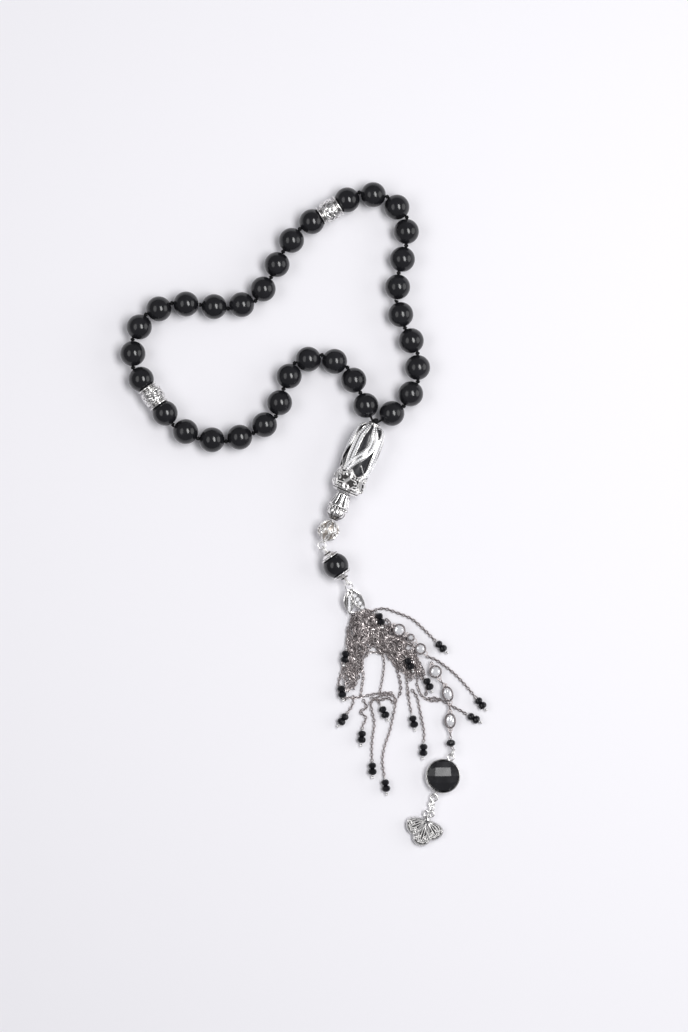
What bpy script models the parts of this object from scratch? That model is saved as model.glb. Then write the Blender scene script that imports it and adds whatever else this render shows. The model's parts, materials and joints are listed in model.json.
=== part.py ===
"""Misbaha: a loop of thirty-three round beads with two dividers, a caged head and a jewelled tassel.

The set lies flat on its resting surface, +Z up. Plan positions are in millimetres on the layout
plane, and every object is made in metres. The origin is the middle of the set's footprint.
"""

import math

import bmesh
import bpy
import numpy as np
from mathutils import Matrix, Vector

MM = 0.001

# ---- clearances (mm) ----
GAP = 0.30                    # between pieces that would touch
CUP_CLEARANCE = 0.30          # between a round bead and the cup that hugs it

# ---- bead loop (mm) ----
BEAD_DIAMETER = 8.0
BEAD_BORE = 1.40
THREAD_DIAMETER = 0.70
KNOT_DIAMETER = 1.60
KNOT_LENGTH = 0.44
KNOT_SPACE = 1.00             # free thread between two neighbouring beads
MOUTH_TO_BEAD = 0.825 * BEAD_DIAMETER     # from the mouth to the first and last bead
BEADS_BEFORE_DIVIDER = 10     # single beads between the head and the first divider's group
BEADS_BETWEEN_DIVIDERS = 9
BEADS_AFTER_DIVIDER = 10
LINK_ENDS = (5, 16, 21)       # knots where the loop is divided into its four hinged links

# ---- dividers (mm) ----
DIVIDER_LENGTH = 7.0
DIVIDER_FLANGE_DIAMETER = 6.6
DIVIDER_BARREL_DIAMETER = 7.4
DIVIDER_GROOVE_DIAMETER = 5.0

# ---- head (mm), measured down its axis from the mouth ----
MOUTH_HEIGHT = 5.75
CAGE_THICKNESS = 0.30
CORE_START = 0.90
CORE_LENGTH = 16.0
CROWN_START = 17.3
CROWN_LENGTH = 6.3
CROWN_WIDTH = 10.2
NECK_LENGTH = 9.1
NECK_WIDTH = 6.5
PIN_BORE = 1.50
PIN_DIAMETER = 0.60
FILIGREE_DIAMETER = 6.9
FILIGREE_THICKNESS = 0.35
EYE_RADIUS = 1.20             # to the middle of the wire
EYE_PITCH = 1.50              # centre to centre of two interlocked eyes

# ---- capped bead and bail (mm) ----
CAP_DIAMETER = 6.4
CAP_HEIGHT = 2.05
BAIL_THICKNESS = 0.60
BAIL_DROP_ANGLE = 14.0

# ---- tassel (mm) ----
CHAIN_DIAMETER = 0.84
DROP_BEAD_DIAMETER = 2.50
DROP_BEAD_LENGTH = 1.85
DROP_PIN_DIAMETER = 0.50
DROP_BALL_DIAMETER = 0.90
BUNDLE_HEIGHT = 2.80
BUNDLE_SHOULDER = 1.00

# ---- stone pendant (mm) ----
STONE_DIAMETER = 10.0
STONE_HEIGHT = 3.4
BEZEL_WALL = 0.32
BEZEL_HEIGHT = 2.7
BEZEL_BACK = 0.60
CHARM_THICKNESS = 0.90
CHARM_REACH = 8.00
CHARM_NECK = 7.60
CHARM_LEAVES = 3
CHARM_SPREAD = 80.0
LUG_RADIUS = 1.00

# ---- plan layout (mm, chosen points) ----
LOOP_ROUTE = (
    (21.8, 29.4), (30.7, 34.8), (35.6, 43.0), (35.6, 51.8), (31.6, 60.0), (28.9, 68.6),
    (29.6, 77.6), (32.0, 86.5), (32.0, 95.4), (26.0, 101.6), (17.0, 103.0), (-1.8, 91.4),
    (-7.2, 84.0), (-11.0, 76.0), (-16.0, 68.6), (-25.2, 66.2), (-34.2, 67.5), (-43.0, 67.8),
    (-50.9, 64.0), (-54.9, 56.0), (-54.4, 47.0), (-41.2, 28.6), (-33.0, 24.8), (-24.6, 24.2),
    (-16.0, 27.0), (-9.0, 32.6), (-6.8, 41.2), (-3.0, 49.2), (5.6, 51.4), (13.6, 47.2),
    (17.5, 39.3),
)
HEAD_HEADING = (-0.397, -0.918)
PENDANT_HEADING = (0.575, -0.818)
BAIL_HEADING = (0.320, -0.947)
STONE_HEADING = (-0.383, -0.924)
CHARM_HEADING = (-0.300, -0.954)

BUNDLE_OUTLINE = (
    (14.6, -33.9), (16.4, -32.9), (19.2, -32.7), (21.8, -32.6), (25.2, -34.0), (28.4, -37.2),
    (31.2, -40.2), (34.2, -43.2), (37.4, -46.6), (38.6, -50.2), (37.2, -53.2), (33.6, -53.6),
    (31.0, -52.6), (31.6, -47.8), (27.4, -45.0), (23.6, -43.0), (20.8, -43.0), (18.9, -44.4),
    (18.0, -48.0), (16.4, -52.4), (14.6, -56.6), (10.6, -56.4), (10.4, -51.6), (13.2, -47.6),
    (13.8, -42.0),
)
TOP_ARC_ROUTE = (
    (20.9, -30.2), (24.8, -29.3), (28.8, -30.5), (33.8, -32.6), (38.0, -36.2), (41.2, -39.4),
)
RIGHT_TAIL_ROUTE = (
    (41.4, -45.6), (44.4, -47.6), (47.8, -50.4), (51.2, -54.0), (54.2, -57.4),
)
CENTRE_TAIL_ROUTE = (
    (21.2, -77.6), (21.1, -74.0), (21.4, -70.0), (21.9, -66.0), (21.2, -62.2), (20.6, -59.2),
    (23.6, -57.4), (27.6, -57.0), (28.9, -59.8), (27.8, -64.4), (26.8, -68.6), (25.2, -73.4),
    (24.5, -78.0), (25.2, -83.2),
)
INNER_TAIL_ROUTE = (
    (33.9, -62.6), (33.1, -59.4), (32.7, -56.6), (34.3, -55.6), (35.6, -57.8), (36.4, -61.4),
    (37.2, -65.2), (37.8, -69.0), (37.7, -71.8),
)
LEFT_TAIL_ROUTE = (
    (12.9, -62.8), (14.6, -61.2), (14.2, -59.2), (15.8, -58.2), (18.2, -60.2), (19.4, -62.0),
    (17.4, -63.6), (18.6, -65.6), (18.1, -67.8),
)
STRAND_ROUTE = (
    (39.9, -46.4), (41.3, -49.4), (43.3, -52.8), (45.3, -56.6), (46.0, -60.9), (46.2, -65.2),
    (46.3, -69.0), (46.4, -71.8), (47.3, -74.2),
)
# half-widths of what the strand carries, at distances along it: round, oval and pointed settings
STRAND_SETTINGS = (
    (3.1, 1.95, 1.95), (11.3, 1.70, 2.50), (20.0, 1.70, 2.50), (27.0, 1.60, 1.20),
)


# ---------------------------------------------------------------- finishes and small helpers

def finish(name, colour, roughness, metallic):
    """A plain Principled material."""
    made = bpy.data.materials.new(name)
    made.use_nodes = True
    shader = made.node_tree.nodes["Principled BSDF"]
    shader.inputs["Base Color"].default_value = (*colour, 1.0)
    shader.inputs["Roughness"].default_value = roughness
    shader.inputs["Metallic"].default_value = metallic
    return made


def clear_scene():
    """Remove every object, so that the script can run in an open file."""
    for old in list(bpy.data.objects):
        bpy.data.objects.remove(old)


def link(name, data, material, parent=None):
    """Put mesh or curve data into the scene as a named object with one material."""
    data.materials.append(material)
    made = bpy.data.objects.new(name, data)
    bpy.context.collection.objects.link(made)
    made.parent = parent
    return made


def along(origin, direction):
    """A placement whose local Z runs along direction and whose local X points up."""
    z = Vector(direction).normalized()
    x = Vector((0, 0, 1))
    x = (x - z * x.dot(z)).normalized()
    y = z.cross(x)
    placed = Matrix((x, y, z)).transposed().to_4x4()
    placed.translation = Vector(origin)
    return placed


def guide(name, placement):
    """An empty that carries the pieces on one axis."""
    made = bpy.data.objects.new(name, None)
    bpy.context.collection.objects.link(made)
    made.matrix_world = placement
    return made


def smooth_shading(mesh, sharp_degrees=38.0):
    """Smooth round faces and keep the real edges sharp."""
    mesh.shade_smooth()
    mesh.set_sharp_from_angle(angle=math.radians(sharp_degrees))


def turned(name, profile, steps, closed=True, phase=0.0):
    """A mesh turned about local Z from (height, radius) pairs in millimetres."""
    work = bmesh.new()
    start = Matrix.Rotation(phase, 3, "Z")
    points = [work.verts.new(start @ Vector((r * MM, 0, z * MM))) for z, r in profile]
    lines = [work.edges.new(pair) for pair in zip(points, points[1:])]
    if closed:
        lines.append(work.edges.new((points[-1], points[0])))
    bmesh.ops.spin(work, geom=points + lines, axis=(0, 0, 1), cent=(0, 0, 0),
                   angle=2 * math.pi, steps=steps, use_merge=True)
    bmesh.ops.remove_doubles(work, verts=work.verts, dist=1e-7)
    bmesh.ops.recalc_face_normals(work, faces=work.faces)
    mesh = bpy.data.meshes.new(name)
    work.to_mesh(mesh)
    work.free()
    smooth_shading(mesh)
    return mesh


def flute(mesh, count, depth):
    """Press count flutes into a turned mesh, deepest between the ribs."""
    for vertex in mesh.vertices:
        x, y, _ = vertex.co
        share = 1 - depth * (0.5 - 0.5 * math.cos(count * math.atan2(y, x)))
        if math.hypot(x, y) > PIN_BORE * MM:
            vertex.co.x *= share
            vertex.co.y *= share


def caged(name, profile, windows, twist, reach, half_angle, columns):
    """An open shell of ribbons about local Z, with leaf-shaped windows between them.

    profile is (height, radius) pairs. A window runs between the two heights of reach, its half
    angle follows a sine between them, and its middle turns by twist radians over that length.
    """
    low, high = reach
    work = bmesh.new()
    rows = []
    for z, r in profile:
        share = min(max((z - low) / (high - low), 0.0), 1.0)
        opening = half_angle * math.sin(math.pi * share)
        row = []
        for k in range(windows):
            middle = 2 * math.pi * k / windows + twist * share
            wide = 2 * math.pi / windows - 2 * opening
            for c in range(columns + 1):
                a = middle + opening + wide * c / columns
                spot = (r * MM * math.cos(a), r * MM * math.sin(a), z * MM)
                row.append(work.verts.new(spot))
        rows.append(row)
    for lower, upper in zip(rows, rows[1:]):
        for k in range(windows):
            first = k * (columns + 1)
            for c in range(first, first + columns):
                work.faces.new((lower[c], lower[c + 1], upper[c + 1], upper[c]))
    bmesh.ops.remove_doubles(work, verts=work.verts, dist=1e-6)
    mesh = bpy.data.meshes.new(name)
    work.to_mesh(mesh)
    work.free()
    smooth_shading(mesh)
    return mesh


def thicken(piece, thickness):
    """Give a caged shell its wall, inwards."""
    wall = piece.modifiers.new("wall", "SOLIDIFY")
    wall.thickness = thickness * MM
    wall.offset = -1.0
    wall.use_even_offset = False


def tube(name, points, radii, bevel_resolution=2):
    """A tube through points (mm), with its own radius (mm) at each one."""
    thick = max(radii)
    made = bpy.data.curves.new(name, "CURVE")
    made.dimensions = "3D"
    made.bevel_depth = thick * MM
    made.bevel_resolution = bevel_resolution
    made.use_fill_caps = True
    spline = made.splines.new("POLY")
    spline.points.add(len(points) - 1)
    for spot, place, radius in zip(spline.points, points, radii):
        spot.co = (place[0] * MM, place[1] * MM, place[2] * MM, 1.0)
        spot.radius = radius / thick
    return made


def plate(name, loops, thickness):
    """A flat plate in local XY from closed outlines (mm). Inner outlines are holes."""
    made = bpy.data.curves.new(name, "CURVE")
    made.dimensions = "2D"
    made.fill_mode = "BOTH"
    made.extrude = thickness * MM / 2
    for outline in loops:
        spline = made.splines.new("POLY")
        spline.points.add(len(outline) - 1)
        spline.use_cyclic_u = True
        for spot, (x, y) in zip(spline.points, outline):
            spot.co = (x * MM, y * MM, 0.0, 1.0)
    return made


def arc(centre, radius, start, end, count):
    """Points on an arc, in degrees."""
    turns = [math.radians(start + (end - start) * i / (count - 1)) for i in range(count)]
    return [(centre[0] + radius * math.cos(a), centre[1] + radius * math.sin(a)) for a in turns]


def smooth_route(route, closed, per_span=40):
    """Points on a smooth curve through a route's own points."""
    points = np.array(route, float)
    if closed:
        before = np.roll(points, 1, axis=0)
        after = np.roll(points, -1, axis=0)
        beyond = np.roll(points, -2, axis=0)
        start = points
    else:
        ends = np.vstack([2 * points[0] - points[1], points, 2 * points[-1] - points[-2]])
        before, start, after, beyond = ends[:-3], ends[1:-2], ends[2:-1], ends[3:]
    t = np.linspace(0, 1, per_span, endpoint=False)[None, :, None]
    a, b, c, d = (p[:, None, :] for p in (before, start, after, beyond))
    curve = 0.5 * (2 * b + (c - a) * t + (2 * a - 5 * b + 4 * c - d) * t ** 2
                   + (3 * b - a - 3 * c + d) * t ** 3)
    last = points[:1] if closed else points[-1:]
    return np.vstack([curve.reshape(-1, points.shape[1]), last])


def resample(route, spacing):
    """Points about spacing apart on the smooth curve through an open route."""
    curve = smooth_route(route, closed=False)
    run = np.concatenate([[0], np.cumsum(np.linalg.norm(np.diff(curve, axis=0), axis=1))])
    count = max(2, round(run[-1] / spacing) + 1)
    at = np.linspace(0, run[-1], count)
    return np.column_stack([np.interp(at, run, curve[:, i]) for i in range(curve.shape[1])])


def unit(vector):
    """A vector of length one."""
    return np.array(vector, float) / np.linalg.norm(vector)


def eye_ring(centre, first, side, count=12):
    """An eye's points (mm): it leaves the shank at -first and turns almost all the way round."""
    turns = np.linspace(math.pi, math.pi + math.radians(318), count)
    return [tuple(np.array(centre) + EYE_RADIUS * (np.cos(a) * first + np.sin(a) * side))
            for a in turns]


# ---------------------------------------------------------------- bead loop

BEAD_PITCH = BEAD_DIAMETER + KNOT_SPACE
HALF_PITCH = BEAD_PITCH / 2
CUP_RADIUS = BEAD_DIAMETER / 2 + CUP_CLEARANCE
FLANGE_LIP = 0.32
DIVIDER_REACH = DIVIDER_LENGTH / 2 + math.sqrt(
    CUP_RADIUS ** 2 - (DIVIDER_FLANGE_DIAMETER / 2 - FLANGE_LIP) ** 2)
GROUP_CHORD = 2 * (HALF_PITCH + DIVIDER_REACH)
END_CHORD = HALF_PITCH + MOUTH_TO_BEAD


def loop_chords():
    """The straight runs of the loop: one for each bead, and one for each divider's group."""
    return ([END_CHORD] + [BEAD_PITCH] * (BEADS_BEFORE_DIVIDER - 1) + [GROUP_CHORD]
            + [BEAD_PITCH] * BEADS_BETWEEN_DIVIDERS + [GROUP_CHORD]
            + [BEAD_PITCH] * (BEADS_AFTER_DIVIDER - 1) + [END_CHORD])


def walk(curve, chords):
    """Step along a curve by straight chords, and give the corner after each."""
    corners, here, at = [curve[0]], curve[0], 0
    for chord in chords:
        away = np.linalg.norm(curve[at:] - here, axis=1)
        past = np.argmax(away >= chord)
        if away[past] < chord:
            return None
        a, b = away[past - 1], away[past]
        here = curve[at + past - 1] + (curve[at + past] - curve[at + past - 1]) * (chord - a) / (b - a)
        at += past
        corners.append(here)
    return corners


def loop_corners():
    """The loop's corners: the route grows or shrinks about the mouth until the chords close it."""
    chords = loop_chords()
    mouth = np.array(LOOP_ROUTE[0])
    curve = smooth_route(LOOP_ROUTE, closed=True, per_span=120)
    low, high = 0.5, 2.0
    for _ in range(60):
        scale = (low + high) / 2
        corners = walk(mouth + (curve - mouth) * scale, chords[:-1])
        if corners is None or np.linalg.norm(corners[-1] - mouth) < chords[-1]:
            low = scale
        else:
            high = scale
    corners = walk(mouth + (curve - mouth) * high, chords[:-1]) + [mouth]
    heights = [MOUTH_HEIGHT] + [BEAD_DIAMETER / 2] * (len(corners) - 2) + [MOUTH_HEIGHT]
    return [np.array([*c, h]) for c, h in zip(corners, heights)]


def bead_profile(steps=6):
    """A round bead with a straight bore."""
    radius, bore = BEAD_DIAMETER / 2, BEAD_BORE / 2
    mouth = math.asin(bore / radius)
    turns = [mouth + (math.pi - 2 * mouth) * i / steps for i in range(steps + 1)]
    return [(radius * math.cos(a), radius * math.sin(a)) for a in turns]


def cup_arc(centre, outer, inner, count):
    """Points on a cup that hugs a round bead whose centre is at this height, rim to bore."""
    radii = [outer + (inner - outer) * i / (count - 1) for i in range(count)]
    return [(centre - math.sqrt(CUP_RADIUS ** 2 - r * r), r) for r in radii]


def divider_profile():
    """A barrel between two grooves and two cupped flanges, with a straight bore."""
    half, flange = DIVIDER_LENGTH / 2, DIVIDER_FLANGE_DIAMETER / 2
    barrel, groove, bore = DIVIDER_BARREL_DIAMETER / 2, DIVIDER_GROOVE_DIAMETER / 2, BEAD_BORE / 2
    outside = [(half - 0.8, flange), (half - 1.1, groove), (half - 1.5, groove),
               (half - 1.8, barrel - 0.3), (half - 2.6, barrel)]
    cup = cup_arc(DIVIDER_REACH, flange - FLANGE_LIP, bore, 4)
    mirrored = [(-z, r) for z, r in outside]
    return ([(half, flange)] + outside + mirrored[::-1] + [(-half, flange)]
            + [(-z, r) for z, r in cup] + cup[::-1])


def thread_link(name, corners, starts_at_mouth, ends_at_mouth, material):
    """One link of the thread: straight through each bead, with a knot at each corner it passes.

    It carries the knot at its far end, and starts a gap beyond the knot of the link before.
    """
    thin, fat = THREAD_DIAMETER / 2, KNOT_DIAMETER / 2
    half = KNOT_LENGTH / 2
    points, radii = [], []
    first = unit(corners[1] - corners[0])
    points.append(corners[0] + first * (0.9 if starts_at_mouth else half + GAP))
    radii.append(thin)
    for i in range(1, len(corners)):
        into = unit(corners[i] - corners[i - 1])
        if i == len(corners) - 1 and ends_at_mouth:
            points.append(corners[i] - into * 0.9)
            radii.append(thin)
            continue
        out = unit(corners[i + 1] - corners[i]) if i < len(corners) - 1 else into
        points += [corners[i] - into * (half + 0.1), corners[i] - into * half * 0.6,
                   corners[i] + out * half * 0.6]
        radii += [thin, fat, fat]
        points.append(corners[i] + out * (half if i == len(corners) - 1 else half + 0.1))
        radii.append(thin)
    return link(name, tube(name, points, radii), material)


def build_loop(onyx, silver, thread):
    """Beads, dividers and the four links of thread."""
    corners = loop_corners()
    bead_mesh = turned("bead", bead_profile(), 10)
    divider_mesh = turned("divider", divider_profile(), 12)
    beads, dividers = [], []

    def add_bead(centre, direction):
        name = f"bead_{len(beads) + 1:02d}"
        placed = link(name, bead_mesh.copy(), onyx)
        placed.matrix_world = along(Vector(centre) * MM, direction)
        beads.append(placed)

    for i, chord in enumerate(loop_chords()):
        a, b = corners[i], corners[i + 1]
        run = unit(b - a)
        if chord == GROUP_CHORD:
            middle = (a + b) / 2
            add_bead(middle - run * DIVIDER_REACH, run)
            name = f"divider_{len(dividers) + 1}"
            placed = link(name, divider_mesh.copy(), silver)
            placed.matrix_world = along(Vector(middle) * MM, run)
            dividers.append(placed)
            add_bead(middle + run * DIVIDER_REACH, run)
        elif i == 0:
            add_bead(b - run * HALF_PITCH, run)
        else:
            add_bead(a + run * HALF_PITCH, run)
    ends = [0, *LINK_ENDS, len(corners) - 1]
    for k, (start, end) in enumerate(zip(ends, ends[1:])):
        thread_link(f"thread_{k + 1}", corners[start:end + 1], k == 0, k == len(ends) - 2, thread)
    return beads, dividers


# ---------------------------------------------------------------- head

NECK_START = CROWN_START + CROWN_LENGTH + GAP
BALL_AT = NECK_START + NECK_LENGTH + GAP + FILIGREE_DIAMETER / 2
EYE_AT = BALL_AT + FILIGREE_DIAMETER / 2 + GAP + EYE_RADIUS + PIN_DIAMETER / 2


def cage_profile():
    """The cage's outside, from the rim of its mouth to its foot."""
    return [(0.0, 1.6), (0.5, 2.9), (1.3, 3.8), (2.6, 4.5), (4.4, 5.0), (6.4, 5.2), (8.6, 5.25),
            (10.8, 5.25), (12.8, 5.15), (14.6, 5.05), (16.0, 4.95), (17.0, 4.85)]


def core_profile():
    """The almond core, a gap inside the cage, with a bore for the pin."""
    inside = CAGE_THICKNESS + GAP
    rows = [(z, r - inside) for z, r in cage_profile() if CORE_START < z < CORE_START + CORE_LENGTH]
    bore = PIN_BORE / 2
    return ([(CORE_START, bore), (CORE_START, 1.9)] + rows
            + [(CORE_START + CORE_LENGTH, rows[-1][1] - 0.1), (CORE_START + CORE_LENGTH, bore)])


def build_head(black, silver, dark_silver):
    """The caged almond, its crown, its ribbed neck, the pin through them and the filigree bead."""
    fall = (MOUTH_HEIGHT - BEAD_DIAMETER / 2) / EYE_AT
    heading = Vector((*HEAD_HEADING, -fall)).normalized()
    mouth = Vector((*LOOP_ROUTE[0], MOUTH_HEIGHT)) * MM
    axis = guide("head_axis", along(mouth, heading))
    bore = PIN_BORE / 2
    link("head_core", turned("head_core", core_profile(), 20), black, axis)
    cage = link("head_cage", caged("head_cage", cage_profile(), 4, 0.9, (1.3, 14.6), 0.42, 3),
                silver, axis)
    thicken(cage, CAGE_THICKNESS)

    start, end = CROWN_START, CROWN_START + CROWN_LENGTH
    wide, foot = CROWN_WIDTH / 2, NECK_WIDTH / 2 + 0.5
    crown = [(start, bore), (start, wide), (start + 2.6, wide), (end, foot), (end, bore)]
    link("crown", turned("crown", crown, 6, phase=math.radians(-20)), dark_silver, axis)

    top, rib = NECK_START, NECK_WIDTH / 2
    neck = [(top, bore), (top, rib * 0.70), (top + 1.6, rib * 0.74), (top + 4.2, rib),
            (top + 5.0, rib), (top + 5.4, rib * 0.92), (top + 6.8, rib * 0.96),
            (top + 8.2, rib * 0.74), (top + NECK_LENGTH, rib * 0.46), (top + NECK_LENGTH, bore)]
    neck_mesh = turned("neck", neck, 24)
    flute(neck_mesh, 8, 0.10)
    link("neck", neck_mesh, silver, axis)

    ball = FILIGREE_DIAMETER / 2
    tip = math.asin(PIN_BORE / 2 / ball)
    turns = [tip + (math.pi - 2 * tip) * i / 12 for i in range(13)]
    shell = [(-ball * math.cos(a), ball * math.sin(a)) for a in turns]
    bead = link("filigree_bead", caged("filigree_bead", shell, 8, 0.0,
                                       (-ball * 0.85, ball * 0.85), 0.22, 1), silver, axis)
    bead.location.z = BALL_AT * MM
    thicken(bead, FILIGREE_THICKNESS)

    ring = eye_ring((0, 0, EYE_AT), np.array([0, 0, 1.0]), np.array([0, 1.0, 0]))
    points = [(0, 0, 1.2), (0, 0, 20.0)] + ring
    pin = tube("head_pin", points, [PIN_DIAMETER / 2] * len(points))
    link("head_pin", pin, silver, axis)
    bpy.context.view_layer.update()
    return np.array(axis.matrix_world @ Vector((0, 0, EYE_AT * MM))) / MM


# ---------------------------------------------------------------- capped bead and bail

CAP_RIM_EDGE = 0.17
CAP_PLANE = math.sqrt(CUP_RADIUS ** 2 - (CAP_DIAMETER / 2 - CAP_RIM_EDGE) ** 2)
PENDANT_REACH = CAP_PLANE + CAP_HEIGHT + EYE_RADIUS


def build_pendant(eye, onyx, silver):
    """The capped bead on its pin, hung in the head's eye."""
    run = unit((*PENDANT_HEADING, 0))
    upper = eye + run * EYE_PITCH
    centre = upper + run * PENDANT_REACH
    lower = centre + run * PENDANT_REACH
    up = np.array([0, 0, 1.0])
    ring_in = eye_ring(upper, -run, up)[::-1]
    ring_out = eye_ring(lower, run, up)
    points = ring_in + ring_out
    pin = tube("bead_pin", points, [PIN_DIAMETER / 2] * len(points))
    link("bead_pin", pin, silver)

    place = along(Vector(centre) * MM, run)
    bead = link("capped_bead", turned("capped_bead", bead_profile(8), 16), onyx)
    bead.matrix_world = place
    rim, bore = CAP_DIAMETER / 2, PIN_BORE / 2
    hug = [(-z, r) for z, r in cup_arc(0.0, rim - CAP_RIM_EDGE, bore, 5)]
    outside = [(CAP_PLANE + CAP_HEIGHT, bore), (CAP_PLANE + CAP_HEIGHT * 0.85, rim * 0.45),
               (CAP_PLANE + CAP_HEIGHT * 0.55, rim * 0.80), (CAP_PLANE + 0.35, rim),
               (CAP_PLANE, rim)]
    for name, way in (("cap_upper", -1), ("cap_lower", 1)):
        profile = [(way * z, r) for z, r in outside + hug]
        cap = link(name, turned(name, profile, 16), silver)
        cap.matrix_world = place
    return lower


def bail_outlines():
    """The bail in its own plane, x to its right and y down it, with the eye's centre at 0, 0."""
    eye = arc((0, 0), EYE_RADIUS + PIN_DIAMETER / 2, 108, 432, 17)
    right = [(1.5, 2.3), (2.4, 3.7), (3.1, 5.6), (3.3, 7.5), (2.8, 9.0), (1.9, 9.2), (1.1, 8.5)]
    left = [(-x, y) for x, y in reversed(right)]
    hole = arc((0, 0), EYE_RADIUS - PIN_DIAMETER / 2, 0, 330, 12)
    slot = [(0.0, 4.2), (0.55, 6.6), (0.6, 7.5), (-0.6, 7.5), (-0.55, 6.6)]
    return [eye + right + left, hole, slot]


def build_bail(eye, silver):
    """Two leaves on one eye, joined at the foot by the bar that holds the chains."""
    run = unit((*BAIL_HEADING, 0))
    centre = eye + run * EYE_PITCH
    bail = link("bail", plate("bail", bail_outlines(), BAIL_THICKNESS), silver)
    down = Vector(run)
    side = Vector((0, 0, 1)).cross(down)
    level = Matrix((-side, down, Vector((0, 0, -1)))).transposed().to_4x4()
    tilt = Matrix.Rotation(math.radians(BAIL_DROP_ANGLE), 4, "X")
    bail.matrix_world = Matrix.Translation(Vector(centre) * MM) @ level @ tilt
    return centre


# ---------------------------------------------------------------- tassel

DROP_LENGTH = 2 * DROP_BEAD_LENGTH + 1.6


def drop_shape():
    """Distances and radii down a drop: two faceted beads on a pin that ends in a ball."""
    pin, ball, bead = DROP_PIN_DIAMETER / 2, DROP_BALL_DIAMETER / 2, DROP_BEAD_DIAMETER / 2
    rows, at = [(0.0, pin)], 0.3
    for _ in range(2):
        rows += [(at, bead * 0.62), (at + DROP_BEAD_LENGTH * 0.3, bead),
                 (at + DROP_BEAD_LENGTH * 0.7, bead), (at + DROP_BEAD_LENGTH, bead * 0.62)]
        at += DROP_BEAD_LENGTH + 0.1
    rows += [(at + 0.1, pin), (DROP_LENGTH - 0.7, pin), (DROP_LENGTH - 0.4, ball),
             (DROP_LENGTH, pin)]
    return rows


def with_drop(points, radii):
    """Carry a chain on into a drop that lies in line with its end."""
    here, height = points[-1], DROP_BEAD_DIAMETER / 2 + 0.05
    run = unit([*(points[-1] - points[-2])[:2], 0])
    here = np.array([here[0], here[1], height])
    rise = [points[-1] - run * 0.4]
    drop = [here + run * (0.5 + d) for d, _ in drop_shape()]
    return (np.vstack([points[:-1], rise, drop]),
            list(radii[:-1]) + [radii[-1]] + [r for _, r in drop_shape()])


def chain_tail(name, route, both_ends, material):
    """A run of chain that lies on the surface and ends in one drop, or one at each end."""
    thin = CHAIN_DIAMETER / 2
    plan = resample(route, 2.2)
    points = np.column_stack([plan, np.full(len(plan), thin + 0.05)])
    points, radii = with_drop(points, [thin] * len(points))
    if both_ends:
        points, radii = with_drop(points[::-1], radii[::-1])
    return link(name, tube(name, list(points), radii), material)


def build_bundle(material):
    """The outer shape of the tangled chains between the bail and the loose ends."""
    work = bmesh.new()
    foot = [work.verts.new((x * MM, y * MM, 0.0)) for x, y in BUNDLE_OUTLINE]
    base = work.faces.new(foot)
    raised = bmesh.ops.extrude_face_region(work, geom=[base])["geom"]
    lifted = [v for v in raised if isinstance(v, bmesh.types.BMVert)]
    bmesh.ops.translate(work, verts=lifted, vec=(0, 0, (BUNDLE_HEIGHT - BUNDLE_SHOULDER) * MM))
    top = [f for f in raised if isinstance(f, bmesh.types.BMFace)]
    bmesh.ops.inset_region(work, faces=top, thickness=BUNDLE_SHOULDER * MM, depth=0.0)
    bmesh.ops.translate(work, verts=top[0].verts, vec=(0, 0, BUNDLE_SHOULDER * MM))
    bmesh.ops.recalc_face_normals(work, faces=work.faces)
    mesh = bpy.data.meshes.new("chain_bundle")
    work.to_mesh(mesh)
    work.free()
    return link("chain_bundle", mesh, material)


def build_strand(silver):
    """The strand of set crystals, with the eye that holds the stone pendant."""
    thin = 0.40
    height = max(half for _, half, _ in STRAND_SETTINGS) + 0.05
    route = resample(STRAND_ROUTE, 0.6)
    run = np.concatenate([[0], np.cumsum(np.linalg.norm(np.diff(route, axis=0), axis=1))])
    radii = np.full(len(route), thin)
    for at, half, reach in STRAND_SETTINGS:
        inside = np.clip(1 - ((run - at) / reach) ** 2, 0, None)
        radii = np.maximum(radii, half * np.sqrt(inside))
    bend = np.abs(np.gradient(radii)) > 1e-4
    keep = bend | (np.arange(len(route)) % 3 == 0)
    keep[[0, -1]] = True
    points = [np.array([*p, height]) for p in route[keep]]
    hang = unit((*STONE_HEADING, 0))
    centre = points[-1] + hang * EYE_RADIUS
    ring = eye_ring(centre, hang, np.array([0, 0, 1.0]))
    whole = points[:-1] + [np.array(p) for p in ring]
    sizes = list(radii[keep][:-1]) + [PIN_DIAMETER / 2] * len(ring)
    link("crystal_strand", tube("crystal_strand", whole, sizes), silver)
    return centre


def lug(work_name, centre, flat, material):
    """A small torus, lying flat or standing on edge across local Y, as a cutter for a union."""
    bpy.ops.mesh.primitive_torus_add(
        major_radius=LUG_RADIUS * MM, minor_radius=PIN_DIAMETER * MM / 2,
        major_segments=14, minor_segments=6, location=(0, 0, 0))
    made = bpy.context.object
    made.name = work_name
    spin = Matrix.Identity(4) if flat else Matrix.Rotation(math.pi / 2, 4, "X")
    made.data.transform(Matrix.Translation(Vector(centre) * MM) @ spin)
    made.data.materials.append(material)
    made.hide_render = True
    made.display_type = "WIRE"
    return made


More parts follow.
